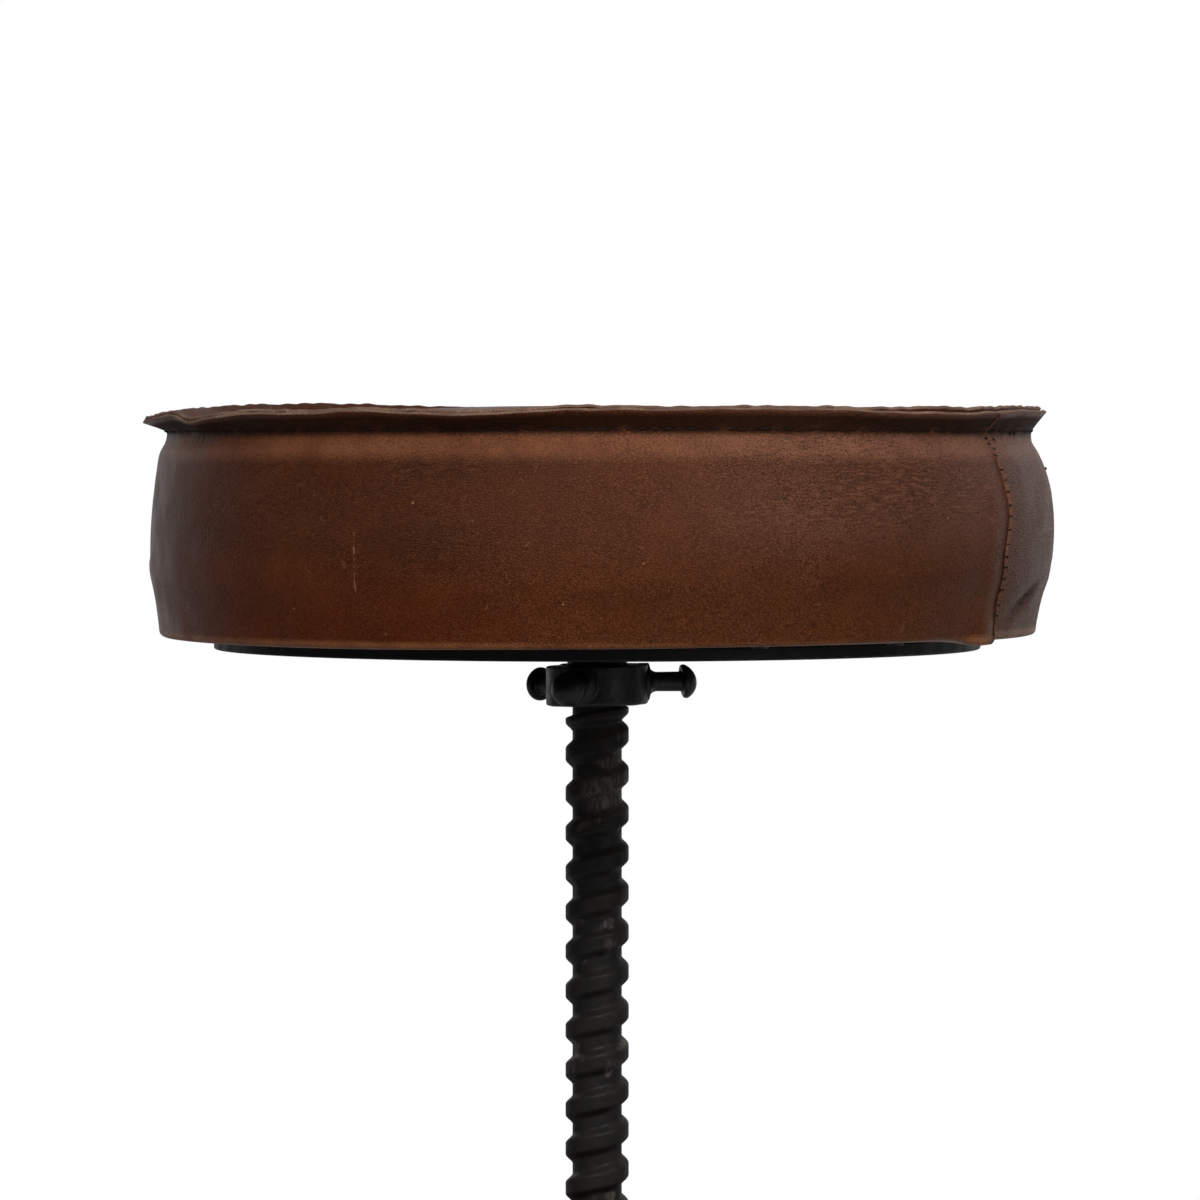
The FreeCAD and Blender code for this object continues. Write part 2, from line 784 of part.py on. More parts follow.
def make_leg_washers():
    upper, lower = leg_bolt_heights()
    washers = []
    for bottom in (upper, lower - leg_washer_thickness):
        washer = pipe(leg_washer_diameter / 2, leg_bolt_diameter / 2 + hole_clearance, bottom,
                      bottom + leg_washer_thickness)
        washers += around(placed(washer, at(leg_bolt_reach, 0)), leg_count, first_leg_turn)
    return group(washers)


def make_leg_nuts():
    _, lower = leg_bolt_heights()
    top = lower - leg_washer_thickness
    bottom = top - leg_nut_height
    nut = hexagon(leg_bolt_head_width, bottom, top)
    nut = nut.cut(rod(leg_bolt_diameter / 2 + seat_clearance, bottom - overrun, top + overrun))
    return group(around(placed(nut, at(leg_bolt_reach, 0)), leg_count, first_leg_turn))


def ring_inner_face():
    """Reach of the flat spot face on the inside of the foot ring's bar."""
    return ring_radius - ring_bar_diameter / 2 + ring_spotface_depth


def washer_outer_face():
    """Reach of the flat outer face of the washers on the outside of the legs."""
    return leg_ring_reach + leg_half_width + saddle_washer_thickness


def make_foot_ring():
    ring = Part.makeTorus(ring_radius, ring_bar_diameter / 2, at(0, ring_height))
    face = radial_rod(ring_bolt_head_diameter / 2 + hole_clearance, ring_radius - ring_bar_diameter,
                      ring_inner_face())
    hole = radial_rod(ring_bolt_diameter / 2 + hole_clearance, ring_radius - ring_bar_diameter,
                      ring_radius + ring_bar_diameter)
    return cut_all(ring, around(face.fuse(hole), leg_count, first_leg_turn))


def make_ring_saddles():
    saddle = radial_rod(saddle_diameter / 2, ring_radius, leg_ring_reach)
    torus = Part.makeTorus(ring_radius, ring_bar_diameter / 2 + seat_clearance, at(0, ring_height))
    hole = radial_rod(ring_bolt_diameter / 2 + hole_clearance, ring_radius - overrun, leg_ring_reach + overrun)
    saddle = saddle.cut(torus).cut(leg_core(seat_clearance)).cut(hole)
    return group(around(largest(saddle), leg_count, first_leg_turn))


def make_saddle_washers():
    washer = radial_rod(saddle_diameter / 2, leg_ring_reach, washer_outer_face())
    hole = radial_rod(ring_bolt_diameter / 2 + hole_clearance, leg_ring_reach - overrun,
                      washer_outer_face() + overrun)
    washer = washer.cut(leg_core(seat_clearance)).cut(hole)
    return group(around(largest(washer), leg_count, first_leg_turn))


def largest(shape):
    return max(shape.Solids, key=lambda solid: solid.Volume)


def make_ring_bolts():
    inner = ring_inner_face()
    radius = ring_bolt_head_diameter / 2
    edge = ring_bolt_head_round
    head_end = inner - ring_bolt_head_height
    head = turned((0, head_end),
                  (radius - edge, head_end),
                  (*corner_round(-1, 1, (radius, head_end), edge), radius, head_end + edge),
                  (radius, inner),
                  (0, inner))
    head = head.cut(hexagon(ring_socket_width, head_end - overrun, head_end + ring_socket_depth))
    end = washer_outer_face() + ring_nut_height
    bolt = head.fuse(rod(ring_bolt_diameter / 2, inner, end))
    return group(around(laid_out(bolt, 0, ring_height), leg_count, first_leg_turn))


def make_ring_cap_nuts():
    start = washer_outer_face()
    base = start + ring_nut_height
    half = ring_nut_width / 2
    dome = turned((0, base),
                  (half, base),
                  cap_arc(half, base, base + ring_cap_height))
    nut = hexagon(ring_nut_width, start, base).fuse(dome)
    nut = nut.cut(rod(ring_bolt_diameter / 2 + seat_clearance, start - overrun, base + seat_clearance))
    return group(around(laid_out(nut, 0, ring_height), leg_count, first_leg_turn))


def make_stop_washer():
    outer = stop_washer_diameter / 2
    edge = stop_washer_round
    bore = shoulder_diameter / 2 + stop_bore_clearance
    return turned((bore, washer_bottom),
                  (outer - edge, washer_bottom),
                  (outer, washer_bottom + edge),
                  (outer, washer_top - edge),
                  (outer - edge, washer_top),
                  (bore, washer_top))


def make_stop_bolt():
    flange_bottom = stop_head_top - stop_bolt_flange_thickness
    head_bottom = flange_bottom - stop_bolt_head_height
    pieces = [rod(shoulder_diameter / 2, stop_head_top, spindle_end),
              rod(stop_bolt_diameter / 2, spindle_end, spindle_end + stop_bolt_thread_length),
              hexagon(stop_bolt_head_width, head_bottom, flange_bottom)]
    return rod(stop_bolt_flange_diameter / 2, flange_bottom, stop_head_top).multiFuse(pieces).removeSplitter()


def make_all():
    nodes = {
        "spindle": make_spindle(),
        "turning_collar": make_turning_collar(),
        "collar_grub_screw": make_collar_grub_screw(),
        "seat_plate": make_seat_plate(),
        "plate_screws": make_plate_screws(),
        "top_washer": make_top_washer(),
        "top_nut": make_top_nut(),
        "seat_board": make_seat_board(),
        "seat_foam": make_seat_foam(),
        "seat_band": make_seat_band(),
        "seat_top": make_seat_top(),
        "hem_tacks": make_hem_tacks(),
        "stop_bolt": make_stop_bolt(),
        "stop_washer": make_stop_washer(),
        "spindle_nut": make_spindle_nut(),
        "nut_screws": make_nut_screws(),
        "hub": make_hub(),
        "leg_bolts": make_leg_bolts(),
        "leg_washers": make_leg_washers(),
        "leg_nuts": make_leg_nuts(),
        "foot_discs": make_foot_discs(),
        "foot_ring": make_foot_ring(),
        "ring_saddles": make_ring_saddles(),
        "saddle_washers": make_saddle_washers(),
        "ring_bolts": make_ring_bolts(),
        "ring_cap_nuts": make_ring_cap_nuts(),
    }
    for number in range(peg_count):
        nodes[f"collar_peg_{number + 1}"] = make_collar_peg(number)
    for number, name in enumerate(leg_names):
        nodes[f"leg_{name}"] = make_leg(number)
        nodes[f"foot_{name}"] = make_foot(number)
    return nodes


os.makedirs("parts", exist_ok=True)
for node, shape in make_all().items():
    shape.exportStep(f"parts/{node}.step")
    sound = all(solid.isValid() for solid in shape.Solids)
    print(node, len(shape.Solids), "solids", round(shape.Volume), "mm3", "sound" if sound else "NOT SOUND")
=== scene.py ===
import json
import math
import random
from functools import partial, partialmethod, reduce

import bmesh
import bpy
import numpy as np
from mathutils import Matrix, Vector, noise
from mathutils.bvhtree import BVHTree


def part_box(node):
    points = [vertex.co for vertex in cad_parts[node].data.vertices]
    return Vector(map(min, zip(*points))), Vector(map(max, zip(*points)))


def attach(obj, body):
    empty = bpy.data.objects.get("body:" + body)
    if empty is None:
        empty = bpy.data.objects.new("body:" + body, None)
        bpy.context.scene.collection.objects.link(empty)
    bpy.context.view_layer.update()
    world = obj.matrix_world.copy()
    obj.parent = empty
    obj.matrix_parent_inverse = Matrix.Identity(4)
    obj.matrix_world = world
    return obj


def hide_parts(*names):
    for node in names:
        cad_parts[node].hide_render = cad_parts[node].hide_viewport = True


# Wind-up stool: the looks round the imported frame. Metres, +Z up, -Y towards the viewer of the photograph.
# An azimuth is in degrees from the front, growing towards the viewer's right.

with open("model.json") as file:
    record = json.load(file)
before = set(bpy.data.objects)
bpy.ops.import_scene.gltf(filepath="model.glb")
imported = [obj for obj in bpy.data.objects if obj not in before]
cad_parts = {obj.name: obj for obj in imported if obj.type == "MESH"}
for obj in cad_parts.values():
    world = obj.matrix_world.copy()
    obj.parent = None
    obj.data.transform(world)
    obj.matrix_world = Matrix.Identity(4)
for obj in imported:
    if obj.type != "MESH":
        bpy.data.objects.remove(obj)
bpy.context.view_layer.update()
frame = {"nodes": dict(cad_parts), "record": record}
scene = bpy.context.scene
mm = 0.001

# Camera of the photograph
camera_place = (0.00114, -2.83, 0.7304)
camera_pitch = 1.6
camera_lens = 211.8

# Seat, in the sizes of the CAD model
seat_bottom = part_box("seat_band")[0].z
plate_low, plate_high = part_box("seat_plate")
board_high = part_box("seat_board")[1]
hem_radius = 138.5 * mm
seam_height = seat_bottom + 80.9 * mm
leather = 1.4 * mm
foot_corner = 2.8 * mm
seam_crease = 1.6 * mm
side_depth = 80 * mm
ply_gap = 0.15 * mm
crown_rise, crown_power = 8 * mm, 2.2
valley_rise = 1.2 * mm
valley_bend = 3.4 * mm
flange_width = 10.4 * mm

# The side's reach at shares of its depth below the seam: left, right, and extra at the front and back
depth_shares = (0, 0.05, 0.1, 0.2, 0.34, 0.46, 0.6, 0.73, 0.84, 1)
left_reach_mm = (172.0, 173.0, 175.0, 176.5, 177.8, 178.6, 179.0, 178.9, 177.2, 175.4)
right_reach_mm = (173.5, 173.8, 176.1, 179.7, 182.4, 183.2, 182.9, 181.4, 178.6, 175.6)
shoulder_mm = (0, 1.1, 1.2, 0.5, 0, 0, 0, 0, 0, 0)

# Rise of the flange's outer edge above the seam, and of the seam itself, by azimuth
flange_azimuths = (-110, -90, -75, -67, -61, -54, -40, -28, -21, -9, -2, 8, 20, 30, 40, 50, 57, 62, 66, 90, 115, 140,
                   165, 190, 224, 250)
flange_rise_mm = (8.0, 4.0, 4.9, 6.2, 3.8, 6.0, 6.7, 7.4, 6.3, 6.6, 8.2, 7.4, 8.3, 7.9, 7.2, 7.0, 7.5, 8.2, 8.2,
                  8.4, 6.0, 5.2, 6.4, 7.4, 9.2, 8.0)
wide_azimuth, wide_spread = -138.0, 22.0
wide_flange = 1.4 * mm
open_azimuth, open_spread = 66.0, 28.0
open_rim = 1.4 * mm
seam_azimuths = (-180, -90, -60, -30, 0, 30, 60, 90, 180)
seam_rise_mm = (0.4, 0.1, 0.4, 1.1, 1.5, 1.2, 0.3, 0.0, 0.4)

# Stitches
stitch_count = 226
stitch_radius = 0.34 * mm
stitch_lift = 0.22 * mm
stitch_along, valley_along = 0.7 * mm, 4.6 * mm
pucker_depth = 0.4 * mm
pucker_reach = 2.5 * mm
# Painted shade: rows of the seam's crease, the flange's outer face and its ends, and beside the lapped edge
seam_darkness = (0.08, 0.42, 0.9, 1.0, 0.8)
flange_darkness, end_darkness = 0.75, 0.13
contact_darkness, contact_spread = 0.8, 0.9

# The band's lapped side seam
lap_azimuth = 60.9
lap_depth_shares = (0, 0.2, 0.4, 0.6, 0.8, 1)
lap_lean = (-0.4, 0.3, 0.6, -0.6, -0.2, 0.9)
lap_lean_spread = 8.0
lap_step = 1.3 * mm
lap_step_places = (0, 0.15, 0.35, 0.6, 1)
lap_step_shares = (0.3, 0.8, 1.0, 0.5, 0.4)
lap_fade = 12.0
lap_stitch_pitch = 4.9 * mm
lap_stitch_length = 1.9 * mm
sag_azimuth = 57.0
sag_bulge, sag_spread = 1.3 * mm, 3.2
foot_azimuths = (-180, -100, -67, -43, -24, -12, 6, 24, 43, 50.5, 53.3, 55.5, 60.6, 61)
foot_rise_mm = (0, -0.3, -0.8, -1.0, -0.8, -0.4, 0, 0.6, 1.0, 1.0, 0.1, -1.2, -1.5, -1.5)
back_foot_rise = 0.3 * mm
dent_azimuth, dent_share, dent_slant = 70.0, 0.84, 60
# The dent near the back leather's lower corner: its depth, and the painted shade in it
corner_dent, corner_darkness = 1.6 * mm, 0.7
roll_azimuth, roll_rise, roll_spread = 57.4, 0.8 * mm, 1.9
tuck_depth, tuck_spread = 0.5 * mm, 1.0

# Knots and thread ends near the seams, by azimuth and by depth below the flange's seam
knots = ((41.7, 0.2 * mm), (60.4, 2.2 * mm), (62.4, 2.8 * mm), (61.2, 6.4 * mm), (68.5, 0.2 * mm), (70.5, 0.4 * mm),
         (88.0, 14.5 * mm))
knot_radius = 0.52 * mm
knot_length = 1.7 * mm

# Spindle
thread_lead = 15.875 * mm
thread_outer = 12.7 * mm
thread_root = 9.9 * mm
crest_height = 597.5 * mm
crest_flat = 4.4 * mm
flank_run = 3.7 * mm
end_chamfer = 2 * mm
collar_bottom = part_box("turning_collar")[0].z
spindle_low, spindle_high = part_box("spindle")
groove_change_start = 590.4 * mm
groove_change_full = 16 * mm
groove_change = 5.2 * mm
undercut_level = 606.8 * mm
undercut_tilt = 2.2 * mm
undercut_slope = 1.4 * mm
stub_radius = 8.5 * mm
square_half = 6 * mm
top_thread_radius = 6 * mm
bolt_bore = 5 * mm
rubbed_height, rubbed_azimuth = 574 * mm, 32
bore_end = spindle_low.z + 22 * mm

# Collar and pegs as cast, with the collar's slight tilt
collar_radius, collar_bore = 20.5 * mm, 8.55 * mm
collar_round, collar_top_round = 1.4 * mm, 0.6 * mm
neck_radius, neck_round = 11.95 * mm, 1.5 * mm
cast_bottom, collar_top = collar_bottom - 0.55 * mm, collar_bottom + 15.3 * mm
tilt = (0.021, 0.003, -0.1 * mm)
peg_turns_drops_leans = ((10, 0.2 * mm, 0.1), (130, 1.0 * mm, 0.0), (251, 0.7 * mm, 0.03))
peg_height = collar_bottom + 8.1 * mm
peg_root, peg_neck, peg_flare = 3.9 * mm, 3.95 * mm, 3.8 * mm
peg_start, flare_start = 17 * mm, 20.7 * mm
head_start, head_end, peg_tip = 34.45 * mm, 36.2 * mm, 40.5 * mm
head_radius, head_round, head_fillet = 6.78 * mm, 1.1 * mm, 0.9 * mm
grub_turn, grub_hole = 70, 3.05 * mm

# Cloth simulation of the cushion core
core_clearance = 0.6 * mm
core_voxel = 5 * mm
core_start_inset = 1.5 * mm
core_crown_reach, core_crown_drop = 168 * mm, 1.2 * mm
swell_limit = 4 * mm
swell_pressure = 4.0
swell_frames = 20
dent_depth = 0.9 * mm

# Leather: its dye from dark to light, and its one long scratch
leather_dyes = ((0.34, (0.041, 0.0105, 0.0038)), (0.5, (0.064, 0.0165, 0.0052)), (0.66, (0.094, 0.0255, 0.007)))
scratch_azimuth, scratch_low, scratch_high = -30.7, 657 * mm, 684 * mm


def through(places, values, where):
    """A smooth curve through a few points, read at the given places."""
    xs, ys = np.array(places, float), np.array(values, float)
    slopes = np.gradient(ys, xs)
    k = np.clip(np.searchsorted(xs, where) - 1, 0, len(xs) - 2)
    run = xs[k + 1] - xs[k]
    t = np.clip((where - xs[k]) / run, 0, 1)
    return ((1 + 2 * t) * (1 - t) ** 2 * ys[k] + t * (1 - t) ** 2 * run * slopes[k]
            + t * t * (3 - 2 * t) * ys[k + 1] + t * t * (t - 1) * run * slopes[k + 1])


def ease(low, high, value):
    """Goes smoothly from 0 to 1 as the value goes from low to high."""
    t = np.clip((value - low) / (high - low), 0, 1)
    return t * t * (3 - 2 * t)


def hump(value, centre, spread):
    """A bell curve of height 1."""
    return np.exp(-((value - centre) / spread) ** 2)


def unit(vector):
    return vector / np.linalg.norm(vector)


def waves(azimuth, seed, depth, counts):
    """Gentle unevenness round a ring, the same on every run."""
    draw = random.Random(seed)
    total = np.zeros_like(azimuth)
    for count in counts:
        share, phase = draw.uniform(0.5, 1), draw.uniform(0, 2 * math.pi)
        total += share * np.cos(count * np.radians(azimuth) + phase)
    return depth * total / math.sqrt(len(counts))


def ring(count):
    return np.linspace(-180, 180, count, endpoint=False)


def noise_at(points, scale):
    values = [noise.noise(Vector(point) * scale) for point in points.reshape(-1, 3)]
    return np.array(values).reshape(points.shape[:-1])


def around(azimuth, reach, height):
    """Points at an azimuth, a reach from the axis and a height."""
    turn = np.radians(azimuth)
    return np.stack([reach * np.sin(turn), -reach * np.cos(turn), height + 0 * turn], axis=-1)


def surface(azimuth, rows):
    """The points of rows of (reach, height) round the axis."""
    return np.stack([around(azimuth, *row) for row in rows])


def outward(azimuth):
    turn = math.radians(azimuth)
    return np.array([math.sin(turn), -math.cos(turn), 0])


def sideways(azimuth):
    """Level direction along the seat's side at an azimuth, which is also the one that far round from +X."""
    turn = math.radians(azimuth)
    return np.array([math.cos(turn), math.sin(turn), 0])


def link_object(name, data):
    made = bpy.data.objects.new(name, data)
    scene.collection.objects.link(made)
    return made


def mesh_object(name, points, faces, materials, face_material=None, marks=None):
    mesh = bpy.data.meshes.new(name)
    mesh.from_pydata(points.tolist(), [], faces)
    for mark, values in (marks or {}).items():
        mesh.attributes.new(mark, "FLOAT", "POINT").data.foreach_set("value", np.ravel(values))
    for material in materials:
        mesh.materials.append(material)
    if face_material is not None:
        mesh.polygons.foreach_set("material_index", face_material.ravel().tolist())
    mesh.polygons.foreach_set("use_smooth", [True] * len(faces))
    build = bmesh.new()
    build.from_mesh(mesh)
    bmesh.ops.remove_doubles(build, verts=build.verts, dist=0.0001 * mm)
    bmesh.ops.recalc_face_normals(build, faces=build.faces)
    build.to_mesh(mesh)
    build.free()
    return link_object(name, mesh)


def ring_faces(rings):
    """Quads between each ring of point numbers and the next."""
    lower, upper = rings[:-1], rings[1:]
    quads = np.stack([lower, np.roll(lower, -1, axis=1), np.roll(upper, -1, axis=1), upper], axis=-1)
    return quads.reshape(-1, 4).tolist()


def grid_object(name, points, materials, row_loop, face_material=None, marks=None):
    """A mesh of quads from a (rows, columns, 3) array whose columns close round the axis."""
    index = np.arange(points[..., 0].size).reshape(points.shape[:2])
    faces = ring_faces(np.concatenate([index, index[:1]]) if row_loop else index)
    return mesh_object(name, points.reshape(-1, 3), faces, materials, face_material, marks)


def tube_points(centres, direction, up, radius, sides):
    """Rings of points round a straight line."""
    across = unit(np.cross(direction, up))
    turn = np.linspace(0, 2 * math.pi, sides, endpoint=False)[:, None]
    circle = np.cos(turn) * across + np.sin(turn) * np.cross(across, direction)
    return centres[:, None] + np.asarray(radius)[..., None, None] * circle


def many_tubes(name, tubes, material):
    """One mesh of closed tubes; each is a (rings, sides, 3) array."""
    points, faces = [], []
    for tube in tubes:
        rings = np.arange(tube[..., 0].size).reshape(tube.shape[:2]) + len(points)
        points.extend(tube.reshape(-1, 3).tolist())
        faces += ring_faces(rings) + [rings[0, ::-1].tolist(), rings[-1].tolist()]
    return mesh_object(name, np.array(points), faces, [material])


# Materials


class Nodes:
    """The nodes of a material or world. Most calls add a node and give back its output."""

    def __init__(self, owner, coordinates="Object"):
        owner.use_nodes = True
        self.owner, self.tree = owner, owner.node_tree
        self.place = self.node("TexCoord", output=coordinates)

    def node(self, kind, inputs=(), output=0, **settings):
        made = self.tree.nodes.new("ShaderNode" + kind)
        for key, value in settings.items():
            setattr(made, key, value)
        self.fill(made, inputs)
        return made.outputs if output is None else made.outputs[output]

    def fill(self, node, inputs):
        """Links or sets a node's inputs; None leaves one alone."""
        for key, value in dict(inputs).items():
            socket = node.inputs[key]
            if isinstance(value, bpy.types.NodeSocket):
                self.tree.links.new(value, socket)
            elif value is not None:
                socket.default_value = (*value, 1) if socket.type == "RGBA" and len(value) == 3 else value

    def stretch(self, scale):
        return self.node("Mapping", {"Vector": self.place, "Scale": scale}) if scale else self.place

    def cloud(self, size, detail=4.0, rough=0.55, stretch=None):
        """Noise from 0 to 1 whose lumps are about the given size in metres."""
        return self.node("TexNoise", {"Vector": self.stretch(stretch), "Scale": 1 / size, "Detail": detail,
                                      "Roughness": rough})

    def cells(self, size, feature="F1", stretch=None):
        return self.node("TexVoronoi", {"Vector": self.stretch(stretch), "Scale": 1 / size}, feature=feature)

    def sum(self, operation, *values):
        return self.node("Math", enumerate(values), operation=operation)

    def chain(self, operation, *values):
        return reduce(partial(self.sum, operation), values)

    size = partialmethod(sum, "ABSOLUTE")
    times = partialmethod(chain, "MULTIPLY")
    plus = partialmethod(chain, "ADD")
    most = partialmethod(chain, "MAXIMUM")

    def fade(self, value, low, high, bottom=0.0, top=1.0):
        """Goes smoothly from bottom to top as the value goes from low to high."""
        return self.node("MapRange", enumerate((value, low, high, bottom, top)),
                         interpolation_type="SMOOTHSTEP")

    def mark(self, name):
        """A value that the mesh carries at each of its points."""
        return self.node("Attribute", output="Fac", attribute_name=name)

    def along(self, direction):
        return self.node("VectorMath", {0: self.place, 1: direction}, "Value", operation="DOT_PRODUCT")

    height = partialmethod(along, (0, 0, 1))

    def reach(self):
        """Distance from the spindle's axis."""
        return self.node("VectorMath", {0: self.stretch((1, 1, 0))}, "Value", operation="LENGTH")

    def ramp(self, value, *stops):
        made = self.node("ValToRGB", {"Fac": value})
        elements = made.node.color_ramp.elements
        while len(elements) < len(stops):
            elements.new(0.5)
        for element, (position, colour) in zip(elements, stops):
            element.position, element.color = position, (*colour, 1)
        return made

    def blend(self, share, low, high, kind="MIX"):
        return self.node("Mix", {0: share, 6: low, 7: high}, 2, data_type="RGBA", blend_type=kind)

    def cover(self, under, over, *shares):
        """Lays one colour over another, by the product of the shares."""
        return self.blend(self.times(*shares), under, over)

    def bumps(self, *layers):
        """Bump layers of (height, distance in metres), the finest last."""
        normal = None
        for height, distance in layers:
            normal = self.node("Bump", {"Height": height, "Distance": distance, "Normal": normal})
        return normal

    def finish(self, colour, roughness, normal, metal=0.0, **others):
        others = {key.replace("_", " "): value for key, value in others.items()}
        self.fill(self.tree.nodes["Principled BSDF"], {"Base Color": colour, "Roughness": roughness,
                                                       "Metallic": metal, "Normal": normal, **others})
        return self.owner


def new_paint(name):
    return Nodes(bpy.data.materials.new(name))


def leather_paint(name, shade=1.0):
    """Waxed brown leather: mottled dye, fine grain, scuffs, light specks and one long scratch."""
    p = new_paint(name)
    height, across = p.height(), p.along(sideways(0))
    right, left = p.fade(across, -0.02, 0.11), p.fade(across, 0.02, -0.09)

    def rises(low, high):
        """From 0 to 1 between two heights above the plate, in millimetres."""
        return p.fade(height, seat_bottom + low * mm, seat_bottom + high * mm)

    # Dye
    clouds = p.cloud(16 * mm, 5)
    streaks = p.cloud(24 * mm, 4, 0.6, (0.3, 0.3, 1))
    tone = p.plus(p.times(p.cloud(70 * mm, 3), 0.4), p.times(clouds, 0.28), p.times(streaks, 0.32))
    dye = p.ramp(tone, *((place, [shade * part for part in colour]) for place, colour in leather_dyes))
    dye = p.cover(dye, p.blend(0.25, dye, (0.075, 0.038, 0.028)), p.mark("tone"))
    low = rises(42, 6)
    for tint, *shares in (((0.8, 0.75, 0.88), rises(20, 44), p.fade(right, 1, 0)),
                          ((1.03, 0.93, 0.48), low),
                          ((1.06, 0.72, 0.5), low, left)):
        dye = p.cover(dye, p.blend(1.0, dye, tint, "MULTIPLY"), *shares)

    # Rubbed lower edges and painted highlights, painted sheen on the upper right, painted shoulder highlight
    # Lighter along the rounded lower edge: rubbed wear, partly painted highlight
    colour = p.cover(dye, (0.3, 0.115, 0.045), rises(3, 0.5), p.cloud(12 * mm, 3))
    colour = p.cover(colour, (0.26, 0.135, 0.085), p.mark("tone"), rises(5.0, 2.6), 0.8)
    beside_lap = p.fade(p.size(p.along(sideways(sag_azimuth))), 14 * mm, 3 * mm)
    # Painted highlight, partly rubbed wear, on the hanging corner beside the lapped seam
    colour = p.cover(colour, (0.34, 0.12, 0.036), rises(4.5, 0.5), beside_lap,
                     p.fade(p.along(outward(sag_azimuth)), 0.1, 0.12), 0.6)
    # Painted sheen: mottled purple-brown over the upper middle and right
    colour = p.cover(colour, (0.112, 0.046, 0.032), rises(26, 50), p.cloud(60 * mm, 3),
                     p.fade(right, 0, 1, 0.1, 0.95))
    # Painted highlight on the shoulder just under the seam, partly burnished wear
    shoulder = p.blend(right, (0.172, 0.062, 0.028), (0.228, 0.1, 0.061))
    colour = p.cover(colour, shoulder, p.mark("wear_and_highlight"), p.fade(clouds, 0.25, 0.65, 0.45, 0.95))

    # Grain and level creases, partly painted highlight and shade
    fine = p.cloud(0.55 * mm, 2, 0.7)
    wrinkles = p.cloud(0.42 * mm, 1, 0.5, (0.34, 0.34, 1))
    pebbles = p.fade(p.cells(0.95 * mm, "DISTANCE_TO_EDGE", (0.62, 0.62, 1)), 0.0, 0.22, 0.25, 0.68)
    grain = p.plus(p.times(wrinkles, 0.5), p.times(pebbles, 0.5))
    strong = p.times(p.fade(p.cloud(34 * mm, 3), 0.36, 0.62, 0.7, 1.0), p.fade(across, -0.11, 0.1, 0.9, 1.3))
    strong = p.plus(strong, p.times(p.mark("tone"), 0.5))
    creased = p.times(rises(34, 56), p.fade(p.cloud(26 * mm, 3, stretch=(0.45, 0.45, 1)), 0.44, 0.6),
                      p.fade(right, 0, 1, 0.35, 1.0))
    folds = p.cloud(0.75 * mm, 2, 0.5, (0.16, 0.16, 1))
    # Lighter ridges, darker creases and folds: partly their own colour, partly painted highlight and shade
    for over, *shares in (((0.19, 0.072, 0.034), p.fade(grain, 0.5, 0.64, 0, 0.27), strong),
                          ((0.014, 0.0045, 0.0022), p.fade(grain, 0.5, 0.34, 0, 0.52), strong),
                          ((0.016, 0.0055, 0.003), creased, p.fade(folds, 0.5, 0.36, 0, 0.36)),
                          ((0.2, 0.085, 0.05), creased, p.fade(folds, 0.52, 0.66, 0, 0.3))):
        colour = p.cover(colour, over, *shares)

    # Specks, hairs, scuffs and the scratch
    specks = p.times(p.fade(p.cells(12.5 * mm), 0.062, 0.035), p.fade(p.cloud(4 * mm, 1), 0.46, 0.56))
    hairs = p.times(p.fade(p.cells(8 * mm, "DISTANCE_TO_EDGE"), 0.022, 0.008),
                    p.fade(p.cloud(5 * mm, 2), 0.61, 0.68, 0, 0.4))
    wobble = p.times(p.sum("SUBTRACT", p.cloud(9 * mm, 2), 0.5), 1.6 * mm)
    aside = p.size(p.plus(p.along(sideways(scratch_azimuth)), wobble))
    scratch = p.times(p.fade(aside, 0.42 * mm, 0.14 * mm),
                      p.fade(p.along(outward(scratch_azimuth)), 0.1, 0.12),
                      p.fade(height, scratch_low, scratch_low + 4 * mm),
                      p.fade(height, scratch_high, scratch_high - 4 * mm),
                      p.fade(p.cloud(2.2 * mm, 2), 0.42, 0.56))
    scuffs = p.fade(p.cloud(3.4 * mm, 5, 0.72, (1, 1, 5)), 0.66, 0.74, 0, 0.35)
    colour = p.cover(colour, (0.28, 0.125, 0.055), p.most(specks, scratch, scuffs, hairs), 0.75)
    # Painted shade where the mesh's shade mark is set
    colour = p.cover(colour, (0.012, 0.0045, 0.0025), p.mark("shade"))
    roughness = p.plus(p.fade(p.plus(clouds, p.times(fine, 0.3)), 0.4, 0.9, 0.34, 0.47),
                       p.times(p.mark("shade"), 0.35))
    normal = p.bumps((clouds, 0.5 * mm), (p.times(grain, strong), 0.46 * mm), (fine, 0.06 * mm))
    return p.finish(colour, roughness, normal, Specular_IOR_Level=0.26, Specular_Tint=(1, 0.5, 0.3, 1))


def raw_edge_paint(name, dark, middle, light):
    """Cut leather edge: pale fibres with darker burnished stretches."""
    p = new_paint(name)
    fibres = p.cloud(0.9 * mm, 4, 0.75)
    stretches = p.cloud(14 * mm, 3)
    colour = p.ramp(fibres, (0.3, dark), (0.52, middle), (0.75, light))
    colour = p.cover(colour, p.blend(0.6, colour, (0.085, 0.034, 0.022)), p.fade(stretches, 0.44, 0.62))
    return p.finish(colour, 0.85, p.bumps((stretches, 0.5 * mm), (fibres, 0.35 * mm)))


def thread_paint():
    """Dark waxed stitching thread with its twist."""
    p = new_paint("stitching_thread")
    twist = p.cloud(0.45 * mm, 2)
    colour = p.ramp(twist, (0.3, (0.005, 0.0025, 0.0018)), (0.7, (0.019, 0.0085, 0.005)))
    return p.finish(colour, 0.7, p.bumps((twist, 0.15 * mm)), Specular_IOR_Level=0.2)


